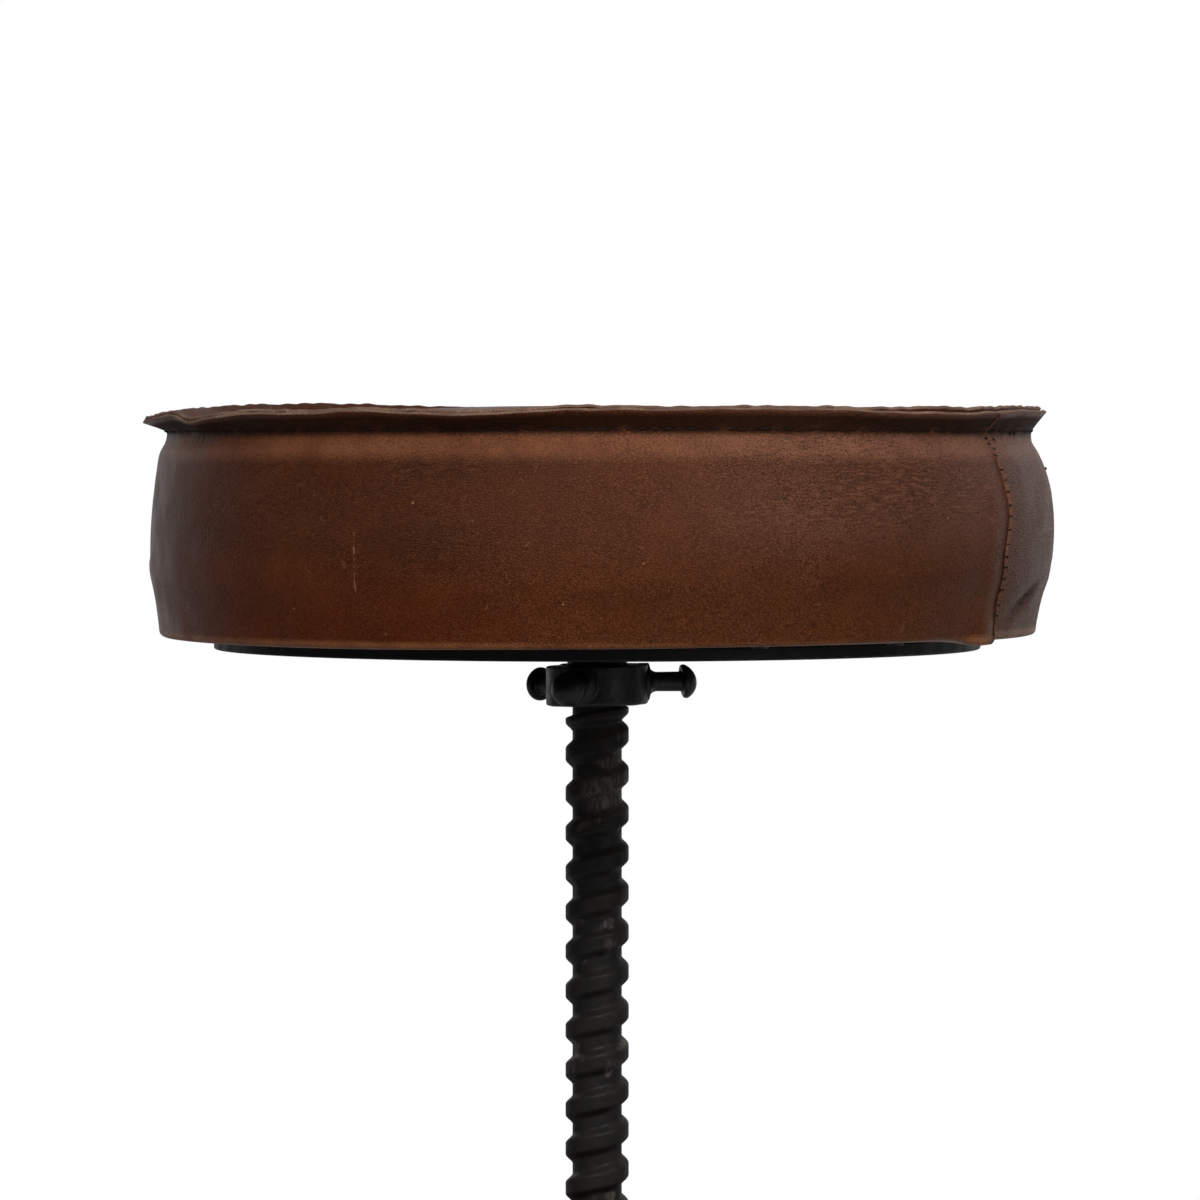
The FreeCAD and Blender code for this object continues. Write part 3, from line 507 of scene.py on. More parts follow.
def black_casting_paint():
    """Black enamel over a sand casting, with soft lumps and fine pits."""
    p = new_paint("black_casting")
    lumps = p.cloud(7 * mm, 4)
    pits = p.cells(1.6 * mm, "SMOOTH_F1")
    colour = p.ramp(p.cloud(5 * mm, 5, 0.65), (0.35, (0.0042, 0.0042, 0.0044)), (0.62, (0.0062, 0.006, 0.0058)),
                    (0.8, (0.012, 0.0108, 0.0095)))
    roughness = p.fade(p.cloud(3 * mm, 4), 0.3, 0.7, 0.34, 0.52)
    return p.finish(colour, roughness, p.bumps((lumps, 0.35 * mm), (pits, 0.1 * mm)), Specular_IOR_Level=0.45)


def black_steel_paint():
    """Satin black paint on steel, with faint streaks and small chips."""
    p = new_paint("black_painted_steel")
    streaks = p.cloud(5 * mm, 4, stretch=(1, 1, 0.25))
    chips = p.fade(p.cells(17 * mm), 0.045, 0.03)
    colour = p.ramp(streaks, (0.3, (0.0038, 0.0038, 0.004)), (0.7, (0.0078, 0.0076, 0.0072)))
    colour = p.cover(colour, (0.045, 0.036, 0.03), chips, 0.7)
    roughness = p.fade(p.cloud(9 * mm, 5), 0.3, 0.7, 0.46, 0.62)
    peel = p.cloud(2.4 * mm, 3)
    return p.finish(colour, roughness, p.bumps((peel, 0.16 * mm), (chips, -0.06 * mm)), Specular_IOR_Level=0.24)


def spindle_paint():
    """Blackened screw steel: rust, painted light on upper flanks, turning marks, crests rubbed to brown steel."""
    p = new_paint("spindle_steel")
    crest = p.fade(p.reach(), thread_root + 1.9 * mm, thread_outer - 0.1 * mm)
    wear_and_highlight = p.times(crest, p.fade(p.cloud(26 * mm, 4), 0.46, 0.66))
    patch = p.times(p.fade(p.size(p.sum("SUBTRACT", p.height(), rubbed_height)), 10 * mm, 5 * mm),
                    p.fade(p.along(outward(rubbed_azimuth)), 2 * mm, 10 * mm))
    rust = p.fade(p.cloud(9 * mm, 6, 0.7), 0.5, 0.7)
    marks = p.cloud(1.1 * mm, 3, stretch=(1, 1, 7))
    colour = p.ramp(p.cloud(6 * mm, 5, 0.6), (0.3, (0.005, 0.0046, 0.0042)), (0.7, (0.0118, 0.0106, 0.0094)))
    places = p.most(patch, p.fade(p.cloud(13 * mm, 2), 0.6, 0.7))
    strokes = p.fade(p.cloud(1.0 * mm, 3, 0.7, (1, 1, 0.16)), 0.38, 0.7, 0.16, 1)
    # Painted light on the upper flanks, strongest high up in the seat's shadow
    flank_painted_light = p.fade(p.height(), 540 * mm, 585 * mm, 0.05, 0.62)
    for over, *shares in (((0.018, 0.0095, 0.0058), rust, 0.55),
                          ((0.11, 0.09, 0.072), places, strokes, 0.85),
                          ((0.045, 0.035, 0.028), wear_and_highlight, 0.3),
                          ((0.056, 0.049, 0.043), p.mark("flank"), flank_painted_light)):
        colour = p.cover(colour, over, *shares)
    roughness = p.fade(p.cloud(4 * mm, 4), 0.3, 0.7, 0.46, 0.66)
    return p.finish(colour, roughness, p.bumps((p.cloud(3 * mm, 4), 0.22 * mm), (marks, 0.04 * mm)),
                    p.times(wear_and_highlight, 0.4), Specular_IOR_Level=0.22)


def steel_paint(name, dark, light, rough):
    """Bare or oxidised steel, brushed and stained."""
    p = new_paint(name)
    brush = p.cloud(0.8 * mm, 3, stretch=(1, 1, 6))
    stain = p.cloud(7 * mm, 5, 0.65)
    colour = p.ramp(stain, (0.3, dark), (0.72, light))
    roughness = p.fade(stain, 0.3, 0.7, rough - 0.08, rough + 0.1)
    return p.finish(colour, roughness, p.bumps((stain, 0.06 * mm), (brush, 0.03 * mm)), 0.85)


def bronze_paint():
    """Machined bronze, tarnished in patches."""
    p = new_paint("machined_bronze")
    tarnish = p.cloud(8 * mm, 5, 0.6)
    rings = p.cloud(0.7 * mm, 3, stretch=(1, 1, 8))
    colour = p.ramp(tarnish, (0.32, (0.095, 0.048, 0.018)), (0.55, (0.23, 0.125, 0.045)),
                    (0.75, (0.36, 0.215, 0.09)))
    roughness = p.fade(tarnish, 0.3, 0.7, 0.48, 0.28)
    return p.finish(colour, roughness, p.bumps((tarnish, 0.08 * mm), (rings, 0.04 * mm)), 0.9)


def rubber_paint():
    """Black moulded rubber, dusty and scuffed near the floor."""
    p = new_paint("foot_rubber")
    dust = p.cloud(6 * mm, 5, 0.65)
    low = p.fade(p.height(), 14 * mm, 0.0)
    colour = p.ramp(dust, (0.3, (0.01, 0.01, 0.01)), (0.75, (0.024, 0.023, 0.022)))
    colour = p.cover(colour, (0.06, 0.055, 0.05), low, 0.45)
    return p.finish(colour, p.fade(dust, 0.3, 0.7, 0.62, 0.85), p.bumps((p.cells(1.3 * mm), 0.06 * mm)))


def plywood_paint():
    """Plywood: pale face grain, and darker plies on its edge."""
    p = new_paint("plywood")
    grain = p.cloud(6 * mm, 6, 0.6, stretch=(1, 9, 9))
    plies = p.sum("FRACT", p.sum("DIVIDE", p.height(), 3 * mm))
    colour = p.ramp(grain, (0.3, (0.3, 0.175, 0.08)), (0.7, (0.5, 0.335, 0.18)))
    colour = p.cover(colour, (0.16, 0.085, 0.036), p.fade(plies, 0.82, 0.95, 0, 0.6))
    return p.finish(colour, 0.7, p.bumps((grain, 0.1 * mm)))


def foam_paint():
    """Open cushion foam: pale, pitted, a little yellowed."""
    p = new_paint("cushion_foam")
    pores = p.cells(1.4 * mm)
    colour = p.ramp(p.cloud(30 * mm, 5), (0.3, (0.42, 0.34, 0.19)), (0.7, (0.6, 0.52, 0.33)))
    return p.finish(colour, 0.95, p.bumps((pores, 0.4 * mm)), Sheen_Weight=0.1)


band_paint = leather_paint("band_leather")
top_paint = leather_paint("top_leather", 1.06)
raw_edge = raw_edge_paint("raw_leather_edge", (0.06, 0.03, 0.018), (0.175, 0.098, 0.062), (0.33, 0.205, 0.135))
lap_edge = raw_edge_paint("lap_leather_edge", (0.045, 0.016, 0.008), (0.125, 0.046, 0.022), (0.21, 0.09, 0.045))
thread = thread_paint()
casting = black_casting_paint()
screw_steel = spindle_paint()
foam = foam_paint()
paints = {"leather_band": band_paint, "leather_top": top_paint, "cast_black": casting,
          "black_steel": black_steel_paint(), "spindle_steel": screw_steel,
          "plain_steel": steel_paint("plain_steel", (0.16, 0.155, 0.15), (0.34, 0.335, 0.33), 0.34),
          "dark_fasteners": steel_paint("black_oxide_steel", (0.014, 0.014, 0.014), (0.045, 0.043, 0.041), 0.4),
          "bronze": bronze_paint(), "foot_rubber": rubber_paint(), "plywood": plywood_paint(), "foam": foam}
for part in frame["record"]["subparts"]:
    data = frame["nodes"][part["node"]].data
    data.materials.clear()
    data.materials.append(paints[part["material_slot"]])


# Spindle


def thread_reach(azimuth, height):
    """Reach of the screw's surface: rounded ridge, its last groove narrowing from above, then the undercut."""
    turn = np.radians(azimuth - 90) / (2 * math.pi)
    turns = (height - crest_height) / thread_lead - turn
    groove_turns = np.floor(turns)
    groove_centre = crest_height + (turn + groove_turns + 0.5) * thread_lead
    below = (turns - groove_turns - 0.5) * thread_lead
    grown = np.clip((groove_centre - groove_change_start) / groove_change_full, 0, 1) ** 2 * groove_change
    half = (thread_lead - crest_flat) / 2
    lower = ease(-half + flank_run, -half, below)
    upper = ease(half - flank_run - grown, half - grown, below)
    ridge = np.maximum(lower, upper)
    end = undercut_level + undercut_tilt * np.cos(np.radians(azimuth - 90))
    ridge = ridge * ease(end + undercut_slope / 2, end - undercut_slope / 2, height)
    reach = thread_root + (thread_outer - thread_root) * ridge
    return np.minimum(reach, thread_outer - end_chamfer + (height - spindle_low.z))


def make_spindle():
    azimuth = ring(96)
    turn = np.radians(azimuth)
    square = square_half / np.maximum(np.abs(np.cos(turn)), np.abs(np.sin(turn)))
    rows = [(0, bore_end), (bolt_bore, bore_end), (bolt_bore, spindle_low.z)]
    rows += [(thread_reach(azimuth, z), z) for z in np.linspace(spindle_low.z, collar_bottom, 640)]
    for reach, low, high in ((stub_radius, collar_bottom, plate_low.z),
                             (square, plate_low.z, plate_high.z),
                             (top_thread_radius, plate_high.z, spindle_high.z)):
        rows += [(reach, low), (reach, high)]
    rows.append((0, spindle_high.z))
    points = surface(azimuth, rows)
    reaches = np.hypot(points[..., 0], points[..., 1])
    rise = np.gradient(points[..., 2], axis=0)
    flank = np.clip(-np.gradient(reaches, axis=0) / np.where(rise > 0, rise, 1), 0, 1) * (rise > 0)
    spindle = grid_object("screw_spindle", points, [screw_steel], False, marks={"flank": flank})
    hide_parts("spindle")
    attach(spindle, "seat_and_spindle")


# Collar and pegs


def tilted(points, share):
    """Lowers and lifts points as the collar's tilt does; share goes from 0, level, to 1."""
    points[..., 2] += (points @ np.array([tilt[0], tilt[1], 0]) + tilt[2]) * share
    return points


def lumpy(points, depth):
    """Unevenness of a sand casting, by place."""
    points[..., 2] += noise_at(points, 160) * depth
    return points


def make_collar():
    rows = [(collar_bore, cast_bottom)]
    rows += bend_rows((collar_radius - collar_round, cast_bottom), (collar_radius, cast_bottom),
                      (collar_radius, cast_bottom + collar_round), 6)
    rows += [(collar_radius, z) for z in np.linspace(cast_bottom + 2 * mm, collar_top - 1 * mm, 8)]
    rows += bend_rows((collar_radius, collar_top - collar_top_round), (collar_radius, collar_top),
                      (collar_radius - collar_top_round, collar_top), 5)
    rows += bend_rows((neck_radius + neck_round, collar_top), (neck_radius, collar_top),
                      (neck_radius, collar_top + neck_round), 6)
    rows += [(neck_radius, plate_low.z), (collar_bore, plate_low.z)]
    reach, height = np.array(rows).T[..., None]
    share = ease(9 * mm, 13 * mm, reach) * ease(plate_low.z, collar_top, height)
    points = lumpy(tilted(surface(ring(96), rows), share), 0.16 * mm * share)
    collar = grid_object("cast_collar", points, [casting], True)
    way = sideways(grub_turn)
    ends = np.outer((10 * mm, 26 * mm), way) + [0, 0, peg_height]
    hole = many_tubes("grub_hole", [tube_points(ends, way, (0, 0, 1), grub_hole, 32)], casting)
    cut = collar.modifiers.new("cut", "BOOLEAN")
    cut.operation, cut.object, cut.solver = "DIFFERENCE", hole, "EXACT"
    apply_modifier(collar, cut)
    bpy.data.objects.remove(hole)
    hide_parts("turning_collar")
    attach(collar, "seat_and_spindle")
    for number, values in enumerate(peg_turns_drops_leans):
        make_peg(number, *values)


def make_peg(number, turn, drop, lean):
    """A mushroom-headed peg with a flare at the collar, a rounded rim and a domed head."""
    rows = [(peg_start, peg_root + peg_flare), (flare_start, peg_root + peg_flare)]
    for t in np.radians(np.linspace(10, 90, 9)):
        rows.append((flare_start + peg_flare * (1 - math.cos(t)), peg_root + peg_flare * (1 - math.sin(t))))
    rows += bend_rows((head_start - head_fillet, peg_neck), (head_start, peg_neck),
                      (head_start, peg_neck + head_fillet), 5)
    rows += bend_rows((head_start, head_radius - head_round), (head_start, head_radius),
                      (head_start + head_round, head_radius), 6)
    rows.append((head_end, head_radius))
    rise = peg_tip - head_end
    dome = (head_radius ** 2 + rise ** 2) / (2 * rise)
    for t in np.linspace(math.asin(head_radius / dome), 0.02, 12)[1:]:
        rows.append((peg_tip - dome * (1 - math.cos(t)), dome * math.sin(t)))
    reach, radius = np.array(rows).T
    way = sideways(turn)
    rings = tube_points(np.outer(reach, way) + [0, 0, peg_height], way, (0, 0, 1), radius, 48)
    outer = ease(head_start - 3 * mm, head_start, reach)[:, None]
    rings -= (outer * (rings[..., 2] - peg_height) * lean)[..., None] * way
    rings[..., 2] -= drop * ease(peg_start, head_start, reach)[:, None]
    peg = many_tubes(f"cast_peg_{number + 1}", [lumpy(tilted(rings, 1), 0.14 * mm)], casting)
    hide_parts(f"collar_peg_{number + 1}")
    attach(peg, "seat_and_spindle")


# Seat outline


def seam_place(azimuth):
    """Reach and height of the stitched seam."""
    side = (1 + np.sin(np.radians(azimuth))) / 2
    reach = (left_reach_mm[0] * (1 - side) + right_reach_mm[0] * side) * mm
    rise = through(seam_azimuths, seam_rise_mm, (azimuth + 180) % 360 - 180) * mm
    return reach + waves(azimuth, 3, 0.25 * mm, (5, 9, 14)), seam_height + rise


def flange_reach(azimuth):
    """Width of the flange, with its wider stretch at the back left."""
    return flange_width + wide_flange * hump(azimuth, wide_azimuth, wide_spread)


def flange_angle(azimuth):
    """The flange's slope round the seat, in radians above level."""
    place = (azimuth + 110) % 360 - 110
    rise = through(flange_azimuths, flange_rise_mm, place) * mm + waves(azimuth, 11, 0.3 * mm, (13, 19, 28, 41))
    return np.arcsin(np.clip(rise / flange_width, 0.2, 0.95))


def side_height(seam, share):
    """Height at a share of the side's depth below the seam."""
    return seam[1] + (seat_bottom + foot_corner - seam[1]) * share


def side_reach(azimuth, share, swell):
    """Reach of the band's outer face at shares of its depth below the seam."""
    side = (1 + np.sin(np.radians(azimuth))) / 2
    left, right, shoulder = (through(depth_shares, values, share) * mm
                             for values in (left_reach_mm, right_reach_mm, shoulder_mm))
    fade = np.sin(np.pi * np.clip(share, 0, 1)) ** 0.5
    return left * (1 - side) + right * side + shoulder * np.cos(np.radians(azimuth)) ** 2 + fade * swell


def flange_point(seam, angle, along, across):
    """A point of the flange, by distance along it and by depth in from its outer face."""
    return (seam[0] + along * np.cos(angle) - across * np.sin(angle),
            seam[1] + along * np.sin(angle) + across * np.cos(angle))


def bend_rows(start, corner, end, count):
    """Rows of a rounded corner: a curve that leaves start for the corner and arrives at end."""
    return [tuple((1 - t) ** 2 * a + 2 * t * (1 - t) * b + t * t * c for a, b, c in zip(start, corner, end))
            for t in np.linspace(0, 1, count)]


def towards(start, end, distance):
    length = np.hypot(end[0] - start[0], end[1] - start[1])
    return tuple(a + (b - a) * distance / length for a, b in zip(start, end))


def core_mesh():
    """The cushion core before it swells: inside the leather, flat on the board."""
    azimuth = ring(144)
    rows = [(reach, board_high.z + 0.3 * mm) for reach in (0, board_high.x)]
    inset = leather + core_clearance + core_start_inset
    seam = seam_place(azimuth)
    for share in np.linspace(0.8, 0.03, 18):
        height = side_height(seam, share)
        dents = noise_at(around(azimuth, 180 * mm, height), 14) * dent_depth
        rows.append((side_reach(azimuth, share, 0) - inset + dents, height))
    for t in np.linspace(0.94, 0, 14):
        height = seam[1] + (crown_rise - inset) * (1 - t ** crown_power) - inset * t * 0.5
        rows.append(((seam[0] - inset - 2 * mm) * t, height))
    return grid_object("cushion_core", surface(azimuth, rows), [foam], False)


def apply_modifier(piece, modifier):
    with bpy.context.temp_override(object=piece, active_object=piece, selected_objects=[piece]):
        bpy.ops.object.modifier_apply(modifier=modifier.name)


def vertex_array(piece):
    flat = np.zeros(len(piece.data.vertices) * 3, np.float32)
    piece.data.vertices.foreach_get("co", flat)
    return flat.reshape(-1, 3).astype(float)


def set_vertices(piece, points):
    piece.data.vertices.foreach_set("co", points.astype(np.float32).ravel())
    piece.data.update()


def swell_core(core):
    """Runs the cloth simulation on the core and keeps its result, with each point's move capped."""
    remesh = core.modifiers.new("remesh", "REMESH")
    remesh.mode, remesh.voxel_size, remesh.use_smooth_shade = "VOXEL", core_voxel, True
    apply_modifier(core, remesh)
    rest = vertex_array(core)
    held = core.vertex_groups.new(name="held")
    at_seam = (np.abs(rest[:, 2] - seam_height) < 5 * mm) & (np.hypot(*rest.T[:2]) > 160 * mm)
    held.add(np.flatnonzero((rest[:, 2] < board_high.z + 2 * mm) | at_seam).tolist(), 1.0, "REPLACE")
    cloth = core.modifiers.new("cloth", "CLOTH")
    for key, value in {"vertex_group_mass": "held", "use_pressure": True, "quality": 6,
                       "uniform_pressure_force": swell_pressure, "tension_stiffness": 18,
                       "compression_stiffness": 18, "bending_stiffness": 0.6}.items():
        setattr(cloth.settings, key, value)
    cloth.settings.effector_weights.gravity = 0
    scene.frame_start, scene.frame_end = 1, swell_frames
    for step in range(1, swell_frames + 1):
        scene.frame_set(step)
    seen = core.evaluated_get(bpy.context.evaluated_depsgraph_get())
    moved = vertex_array(seen)
    core.modifiers.remove(cloth)
    scene.frame_set(1)
    step = moved - rest
    length = np.linalg.norm(step, axis=1, keepdims=True)
    step *= np.minimum(1, swell_limit / np.maximum(length, 1e-9))
    set_vertices(core, rest + step)


def swell_field(core):
    """How far the swollen core stands out or in from its mean reach, by azimuth and share of depth."""
    tree = BVHTree.FromObject(core, bpy.context.evaluated_depsgraph_get())
    azimuths, shares = ring(120), np.linspace(0.04, 0.8, 20)
    field = np.zeros((len(shares), len(azimuths)))
    seam = seam_place(azimuths)
    for j, share in enumerate(shares):
        heights = side_height(seam, share)
        for i, azimuth in enumerate(azimuths):
            hit = tree.ray_cast(Vector((0, 0, heights[i])), Vector(outward(azimuth)))[0]
            if hit is not None:
                field[j, i] = math.hypot(hit.x, hit.y) - side_reach(azimuth, share, 0)
        field[j] -= field[j].mean()
    return azimuths, shares, field


def read_field(field, azimuth, share):
    """The field at an azimuth and a share of depth, between its rays."""
    azimuths, shares, values = field
    row = [np.interp(share, shares, column) for column in values.T]
    return np.interp(azimuth, azimuths, row, period=360)


def lap_height(azimuth, share):
    """How far the back leather stands out over the front leather's end, past the lapped seam."""
    past = azimuth - lap_azimuth
    step = lap_step * through(lap_step_places, lap_step_shares, share)
    return np.where((past >= 0) & (past < lap_fade), step * (1 - ease(0, lap_fade, past)), 0)


def foot_rise(azimuth):
    """Height of the band's lower edge over the plate; the front leather's corner hangs by the lapped seam."""
    front = through(foot_azimuths, foot_rise_mm, azimuth) * mm
    return np.where(azimuth < lap_azimuth, front, back_foot_rise * ease(160, 100, azimuth))


def seat_columns():
    """Azimuths of the band's columns: four to a stitch, and close ones at the lapped edge."""
    even = ring(4 * stitch_count)
    close = lap_azimuth + np.array([-0.1, -0.02, 0.02, 0.1])
    even = even[np.abs(even - lap_azimuth) > 0.2]
    return np.sort(np.concatenate([even, close]))


def lapped(azimuth, share):
    """Leans the columns next to the lapped seam, so that they follow it down."""
    return azimuth + through(lap_depth_shares, lap_lean, share) * hump(azimuth, lap_azimuth, lap_lean_spread)


def corner_mark(azimuth, share):
    """1 in the slanting dent near the back leather's lower corner, and 0 away from it."""
    return hump(azimuth + dent_slant * (share - dent_share), dent_azimuth, 2.2) * hump(share, dent_share, 0.09)


def make_band(field):
    azimuth = seat_columns()
    front = azimuth < lap_azimuth
    seam = seam_place(azimuth)
    angle = flange_angle(azimuth)
    width = flange_reach(azimuth) + waves(azimuth, 21, 0.25 * mm, (7, 17, 33, 60))
    uneven = waves(azimuth, 41, 1.0, (31, 57, 89, 113))
    pucker = pucker_depth * np.abs(np.cos(azimuth / 360 * math.pi * stitch_count)) * np.clip(1 + 0.8 * uneven, 0.2, 2)
    lobe = front * sag_bulge * hump(azimuth, sag_azimuth, sag_spread)
    foot = side_reach(azimuth, 1.0, 0) + lap_height(azimuth, 1.0) + lobe
    floor_line = seat_bottom + foot_rise(azimuth)
    outer, turns = [], []

    def add(rows, share):
        outer.extend(rows)
        turns.extend([share] * len(rows))

    for t in np.linspace(0, 1, 7):
        reach = hem_radius + (foot - foot_corner - hem_radius) * t
        add([(reach, seat_bottom * (1 - t ** 5) + floor_line * t ** 5)], 1)
    add(bend_rows((foot - foot_corner, floor_line), (foot, floor_line), (foot, seat_bottom + foot_corner), 7)[1:-1], 1)
    sides = np.concatenate([np.linspace(1, 0.16, 24), np.linspace(0.15, seam_crease / side_depth, 12)])
    side_rows = []
    roll = roll_rise * hump(azimuth, roll_azimuth, roll_spread)
    tuck = front * tuck_depth * hump(azimuth, lap_azimuth, tuck_spread)
    for share in sides:
        height = side_height(seam, share)
        near = np.exp(-share * side_depth / pucker_reach)
        swell = read_field(field, azimuth, share) + waves(azimuth, 31 + int(share * 3), 0.22 * mm, (3, 5, 8))
        dent = (tuck - roll) * ease(0.04, 0.4, share) + corner_dent * corner_mark(azimuth, share)
        reach = (side_reach(azimuth, share, swell) + lap_height(azimuth, share) - pucker * near - dent
                 + lobe * ease(0.86, 1, share))
        side_rows.append((reach, height))
        add([side_rows[-1]], share)
    flange_start = flange_point(seam, angle, seam_crease, 0)
    seam_row = len(outer)
    add(bend_rows(side_rows[-1], seam, flange_start, 5)[1:], 0)
    for t in np.linspace(0, 1, 6)[1:]:
        curl = 0.4 * mm * t * t + lap_height(azimuth, 0) * 2
        add([flange_point(seam, angle, seam_crease + (width - seam_crease) * t, -curl)], 0)
    outer_count = len(outer)
    for t in np.linspace(1, 0.25, 4):
        add([flange_point(seam, angle, width * t, leather - 0.5 * mm * t * t)], 0)
    inside_seam = seam[1] + 0.4 * leather
    for (reach, height), share in list(zip(side_rows, sides))[::-2]:
        add([(reach - leather, np.minimum(height, inside_seam - leather * 0.6))], share)
    add([(foot - foot_corner, seat_bottom + leather), (hem_radius, seat_bottom + leather)], 1)
    points = np.stack([around(lapped(azimuth, share), *row) for row, share in zip(outer, turns)])
    chosen = np.zeros(points.shape[:2], int)
    chosen[[outer_count - 1, -1]] = 1
    edge = int(np.argmin(np.abs(azimuth - (lap_azimuth - 0.02))))
    chosen[8:outer_count - 1, edge] = 2
    share = np.array(turns)[:, None]
    # Painted shade: the seam's crease, the flange, beside the lapped edge and in the corner dent
    seam_shade = np.zeros(points.shape[:2])
    seam_shade[seam_row - 1:seam_row + 4] = np.array(seam_darkness)[:, None] * np.clip(1 + 0.5 * uneven, 0.3, 1)
    ends = ease(20, 50, azimuth) * ease(100, 70, azimuth) + ease(-40, -60, azimuth)
    seam_shade[seam_row + 4:outer_count - 2] = flange_darkness + end_darkness * ends
    beside = front * hump(azimuth, lap_azimuth, contact_spread)
    seam_shade += contact_darkness * beside * ease(0.25, 0.75, share)
    # Where the shoulder gets its painted highlight, just under the seam
    wear_and_highlight = ease(0.005, 0.042, share) * ease(0.165, 0.085, share) + 0 * azimuth
    seam_shade += corner_darkness * corner_mark(azimuth, share)
    tone = ~front * (1 - ease(110, 175, azimuth))
    marks = {"tone": np.tile(tone, len(points)), "shade": seam_shade, "wear_and_highlight": wear_and_highlight}
    band = grid_object("leather_band", points, [band_paint, raw_edge, lap_edge], True, chosen, marks)
    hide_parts("seat_band")
    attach(band, "seat_and_spindle")


def make_top():
    azimuth = ring(3 * stitch_count)
    seam = seam_place(azimuth)
    angle = flange_angle(azimuth)
    width = flange_reach(azimuth) + waves(azimuth, 22, 0.35 * mm, (6, 15, 37, 55, 96, 131)) - 0.2 * mm
    spread = np.clip(waves(azimuth, 23, 0.25 * mm, (9, 16, 27)), 0, None)
    spread += open_rim * np.exp(-((azimuth - open_azimuth) / open_spread) ** 4)
    under = leather + ply_gap

    def line(across, valley):
        """Rows of one face, from the middle of the seat out to the flange's edge."""
        corner = (seam[0] - (under + leather) * 0.9 - 1.5 * mm, seam[1] + valley)
        rows = []
        for t in np.linspace(0, 0.975, 30):
            dent = noise_at(around(azimuth, t * 170 * mm, 700 * mm), 11)
            fall = 1 - t ** crown_power
            rows.append((corner[0] * t, corner[1] * t ** 2 + (seam_height + valley) * (1 - t ** 2)
                         + crown_rise * fall + dent * dent_depth * fall * min(1, t * 4)))
        tip = flange_point(seam, angle, width, across + spread - 0.5 * mm)
        start = towards(corner, rows.pop(), valley_bend)
        rows += bend_rows(start, corner, towards(corner, tip, valley_bend), 7)
        return rows + [flange_point(seam, angle, width * t, across + (spread - 0.5 * mm) * t * t)
                       for t in (0.35, 0.55, 0.75, 0.9, 1)]

    upper = line(under + leather, valley_rise + leather)
    lower = line(under, valley_rise)
    points = surface(azimuth, upper + lower[::-1])
    chosen = np.zeros((len(points) - 1, len(azimuth)), int)
    chosen[len(upper) - 1] = 1
    top = grid_object("leather_top", points, [top_paint, raw_edge], False, chosen)
    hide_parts("seat_top")
    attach(top, "seat_and_spindle")


def make_core():
    core = core_mesh()
    swell_core(core)
    field = swell_field(core)
    points = vertex_array(core)
    azimuth = np.degrees(np.arctan2(points[:, 0], -points[:, 1]))
    seam = seam_place(azimuth)
    share = np.clip((seam[1] - points[:, 2]) / (seam[1] - seat_bottom - foot_corner), 0, 1)
    limit = side_reach(azimuth, share, 0) - leather - core_clearance
    reach = np.hypot(*points.T[:2])
    points[:, :2] *= np.minimum(1, limit / np.maximum(reach, 1e-9))[:, None]
    crown = seam_height + valley_rise + crown_rise * (1 - np.clip(reach / core_crown_reach, 0, 1) ** crown_power)
    points[:, 2] = np.minimum(points[:, 2], crown - core_crown_drop)
    set_vertices(core, points)
    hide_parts("seat_foam")
    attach(core, "seat_and_spindle")
    return field


def stitch_tube(centre, direction, out, length, radius):
    """One stitch: a short thread that dips into the leather at both ends."""
    t = np.linspace(-1, 1, 7)
    centres = centre + np.outer(t * length / 2, direction) + np.outer(stitch_lift * (1 - 2.2 * t ** 4), out)
    return tube_points(centres, direction, out, radius * (1 - 0.35 * t ** 4), 6)


def make_seam_stitches():
    """Stitches along the foot of the flange, outside on the band and inside on the top."""
    pitch = 360 / stitch_count
    draw = random.Random(5)
    outside, inside = [], []
    for k in range(stitch_count):
        azimuth = -180 + (k + 0.5) * pitch + draw.uniform(-0.1, 0.1) * pitch
        place = np.array([azimuth])
        seam = seam_place(place)
        angle = flange_angle(place)
        run = sideways(azimuth)
        lean = draw.uniform(-0.1, 0.1)
        level, rise = math.sin(angle[0]), math.cos(angle[0])
        for stitches, along, across, *way in ((outside, stitch_along, 0, 1, -0.3 * rise),
                                              (inside, valley_along, 2 * leather + ply_gap, -level, rise)):
            reach, height = flange_point(seam, angle, along + draw.uniform(-0.3, 0.3) * mm, across)
            centre = around(place, reach, height)[0]
            out = unit(outward(azimuth) * way[0] + [0, 0, way[1]])
            direction = unit(run + lean * np.cross(run, out))
            length = math.radians(pitch) * reach[0] * draw.uniform(0.5, 0.95)
            stitches.append(stitch_tube(centre, direction, out, length, stitch_radius))
    for name, stitches in (("flange_stitches", outside), ("valley_stitches", inside)):
        piece = many_tubes(name, stitches, thread)
        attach(piece, "seat_and_spindle")


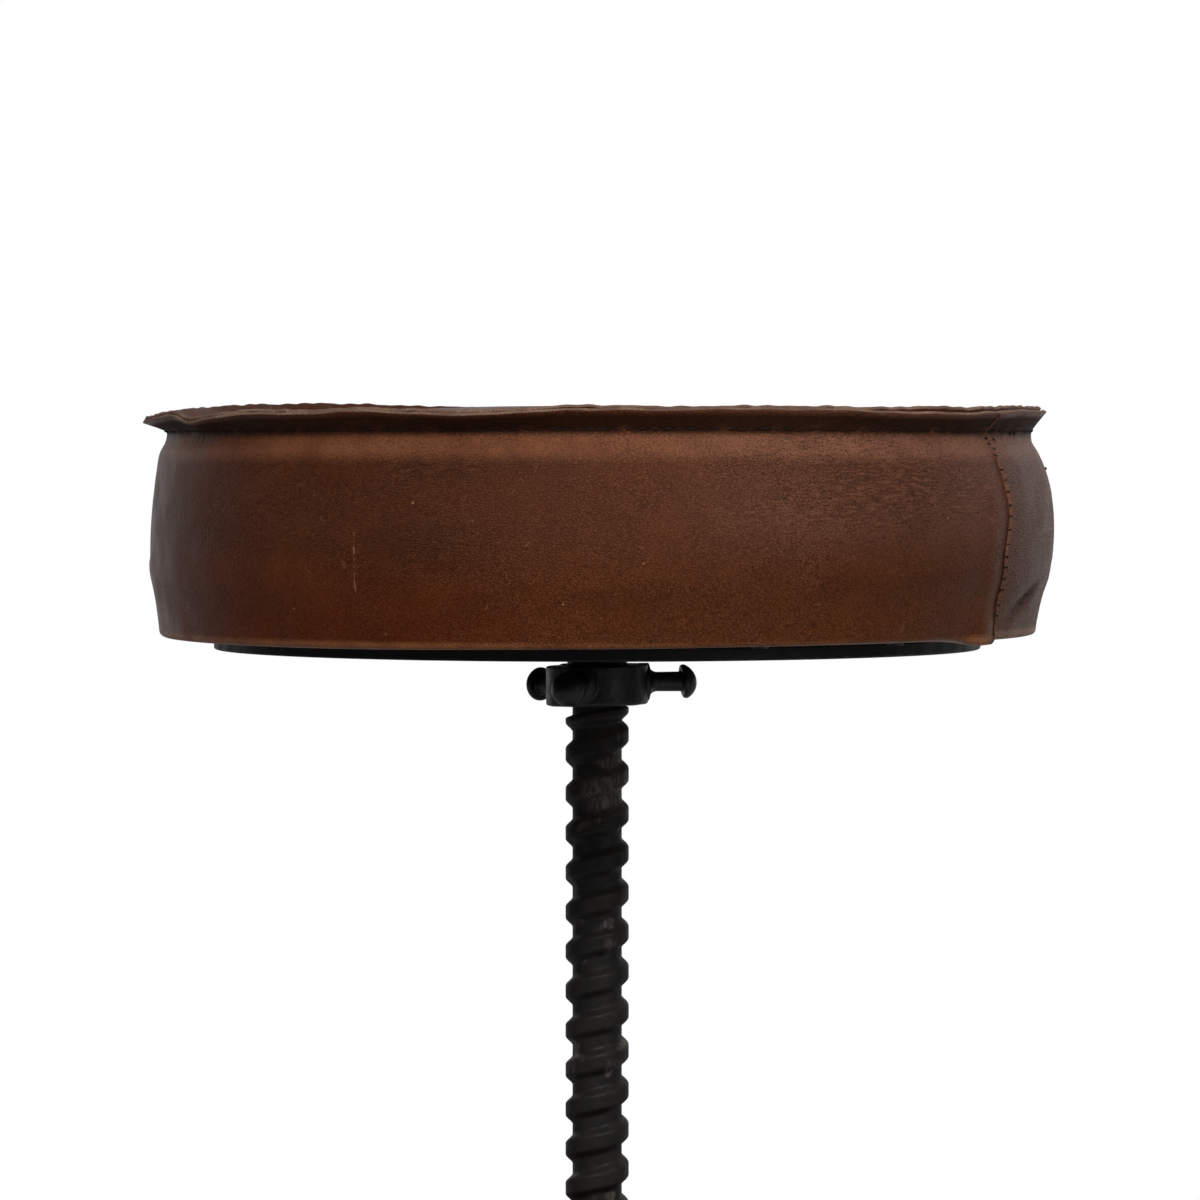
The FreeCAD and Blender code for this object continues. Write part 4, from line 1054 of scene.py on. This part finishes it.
def make_lap_stitches(field):
    """Small stitches along the lapped edge, and the knots."""
    draw = random.Random(8)
    tubes = []
    depth = seam_height - seat_bottom
    for k in range(1, int(depth / lap_stitch_pitch)):
        share = k * lap_stitch_pitch / depth + draw.uniform(-0.01, 0.01)
        azimuth = lapped(np.array([lap_azimuth]), share)
        reach = side_reach(azimuth, share, read_field(field, azimuth, share)) + lap_step * 0.45
        centre = around(azimuth, reach, side_height(seam_place(azimuth), share))[0]
        out = outward(azimuth[0])
        direction = unit(sideways(azimuth[0]) + 0.55 * out + [0, 0, draw.uniform(-0.5, -0.1)])
        length = lap_stitch_length * draw.uniform(0.45, 1.0)
        tubes.append(stitch_tube(centre, direction, out, length, stitch_radius * draw.uniform(0.55, 0.9)))
    for azimuth, below in knots:
        place = np.array([azimuth])
        seam = seam_place(place)
        share = below / (seam[1] - seat_bottom - foot_corner)
        centre = around(place, side_reach(place, share, 0) + lap_height(place, share) * 0.5, seam[1] - below)[0]
        direction = unit(sideways(azimuth) + [0, 0, draw.uniform(-0.8, 0.8)])
        tubes.append(stitch_tube(centre, direction, outward(azimuth), knot_length, knot_radius))
    piece = many_tubes("lap_stitches", tubes, thread)
    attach(piece, "seat_and_spindle")


# Surroundings


def make_floor():
    p = new_paint("floor")
    camera = p.node("LightPath", output="Is Camera Ray")
    tone = p.ramp(p.cloud(0.4, 3), (0.3, (0.8, 0.8, 0.8)), (0.7, (0.84, 0.84, 0.84)))
    tone = p.blend(camera, (0.3, 0.3, 0.3), tone)
    glow = p.fade(p.reach(), 0.5, 1.5, 0.25, 1.0)
    pale = p.finish(tone, 0.9, p.bumps((p.cloud(2 * mm, 2), 0.02 * mm)), Emission_Color=(1, 1, 1),
                    Emission_Strength=p.times(camera, glow))
    rows = [(reach, -0.2 * mm) for reach in (0.0, 1.5, 3.4)]
    floor = grid_object("floor", surface(ring(96), rows), [pale], False)


def make_world():
    """White to the camera; reflections are bright above and behind and dim towards the viewer."""
    world = scene.world = bpy.data.worlds.new("studio")
    p = Nodes(world, "Generated")
    x, y, z = p.node("SeparateXYZ", {0: p.place}, None)
    back = p.fade(p.plus(y, p.fade(x, -0.9, -0.1, -0.25, 0.0)), 0.05, 0.7, 0.015, 0.6)
    seen = p.most(back, p.fade(z, 0.45, 0.95, 0.0, 0.3))
    ambient = p.fade(z, -0.3, 0.8, 0.06, 0.5)
    ray = p.node("LightPath", output=None)
    mirror = p.most(ray["Is Glossy Ray"], ray["Is Transmission Ray"])
    level = p.plus(p.times(seen, mirror), p.times(ambient, p.sum("SUBTRACT", 1.0, mirror)))
    p.fill(p.tree.nodes["Background"], {"Color": (1, 1, 1), "Strength": p.most(level, ray["Is Camera Ray"])})


def add_light(name, place, target, size, power, mirrored=True):
    data = bpy.data.lights.new(name, "AREA")
    data.shape, data.size, data.size_y, data.energy = "RECTANGLE", size[0], size[1], power
    light = link_object(name, data)
    light.location = place
    light.rotation_euler = (Vector(target) - Vector(place)).to_track_quat("-Z", "Y").to_euler()
    light.visible_camera = False
    light.visible_glossy = mirrored


def make_camera():
    data = bpy.data.cameras.new("camera")
    data.lens, data.sensor_width = camera_lens, 36
    data.clip_start, data.clip_end = 0.1, 100
    camera = scene.camera = link_object("camera", data)
    camera.location = camera_place
    camera.rotation_euler = (math.radians(90 - camera_pitch), 0, 0)


swell = make_core()
make_band(swell)
make_top()
make_seam_stitches()
make_lap_stitches(swell)
make_spindle()
make_collar()
make_floor()
make_world()
add_light("key", (0.2, -2.0, 2.05), (0, 0, 0.68), (2.6, 0.6), 50)
add_light("fill_right", (1.6, -1.6, 1.1), (0, 0, 0.6), (1.0, 1.0), 6)
add_light("fill_left", (-1.8, -1.3, 1.4), (0, 0, 0.66), (1.0, 1.0), 2)
add_light("behind", (0.7, 2.3, 1.5), (0, 0, 0.45), (2.0, 1.2), 30, False)
make_camera()

scene.view_settings.view_transform = "Standard"
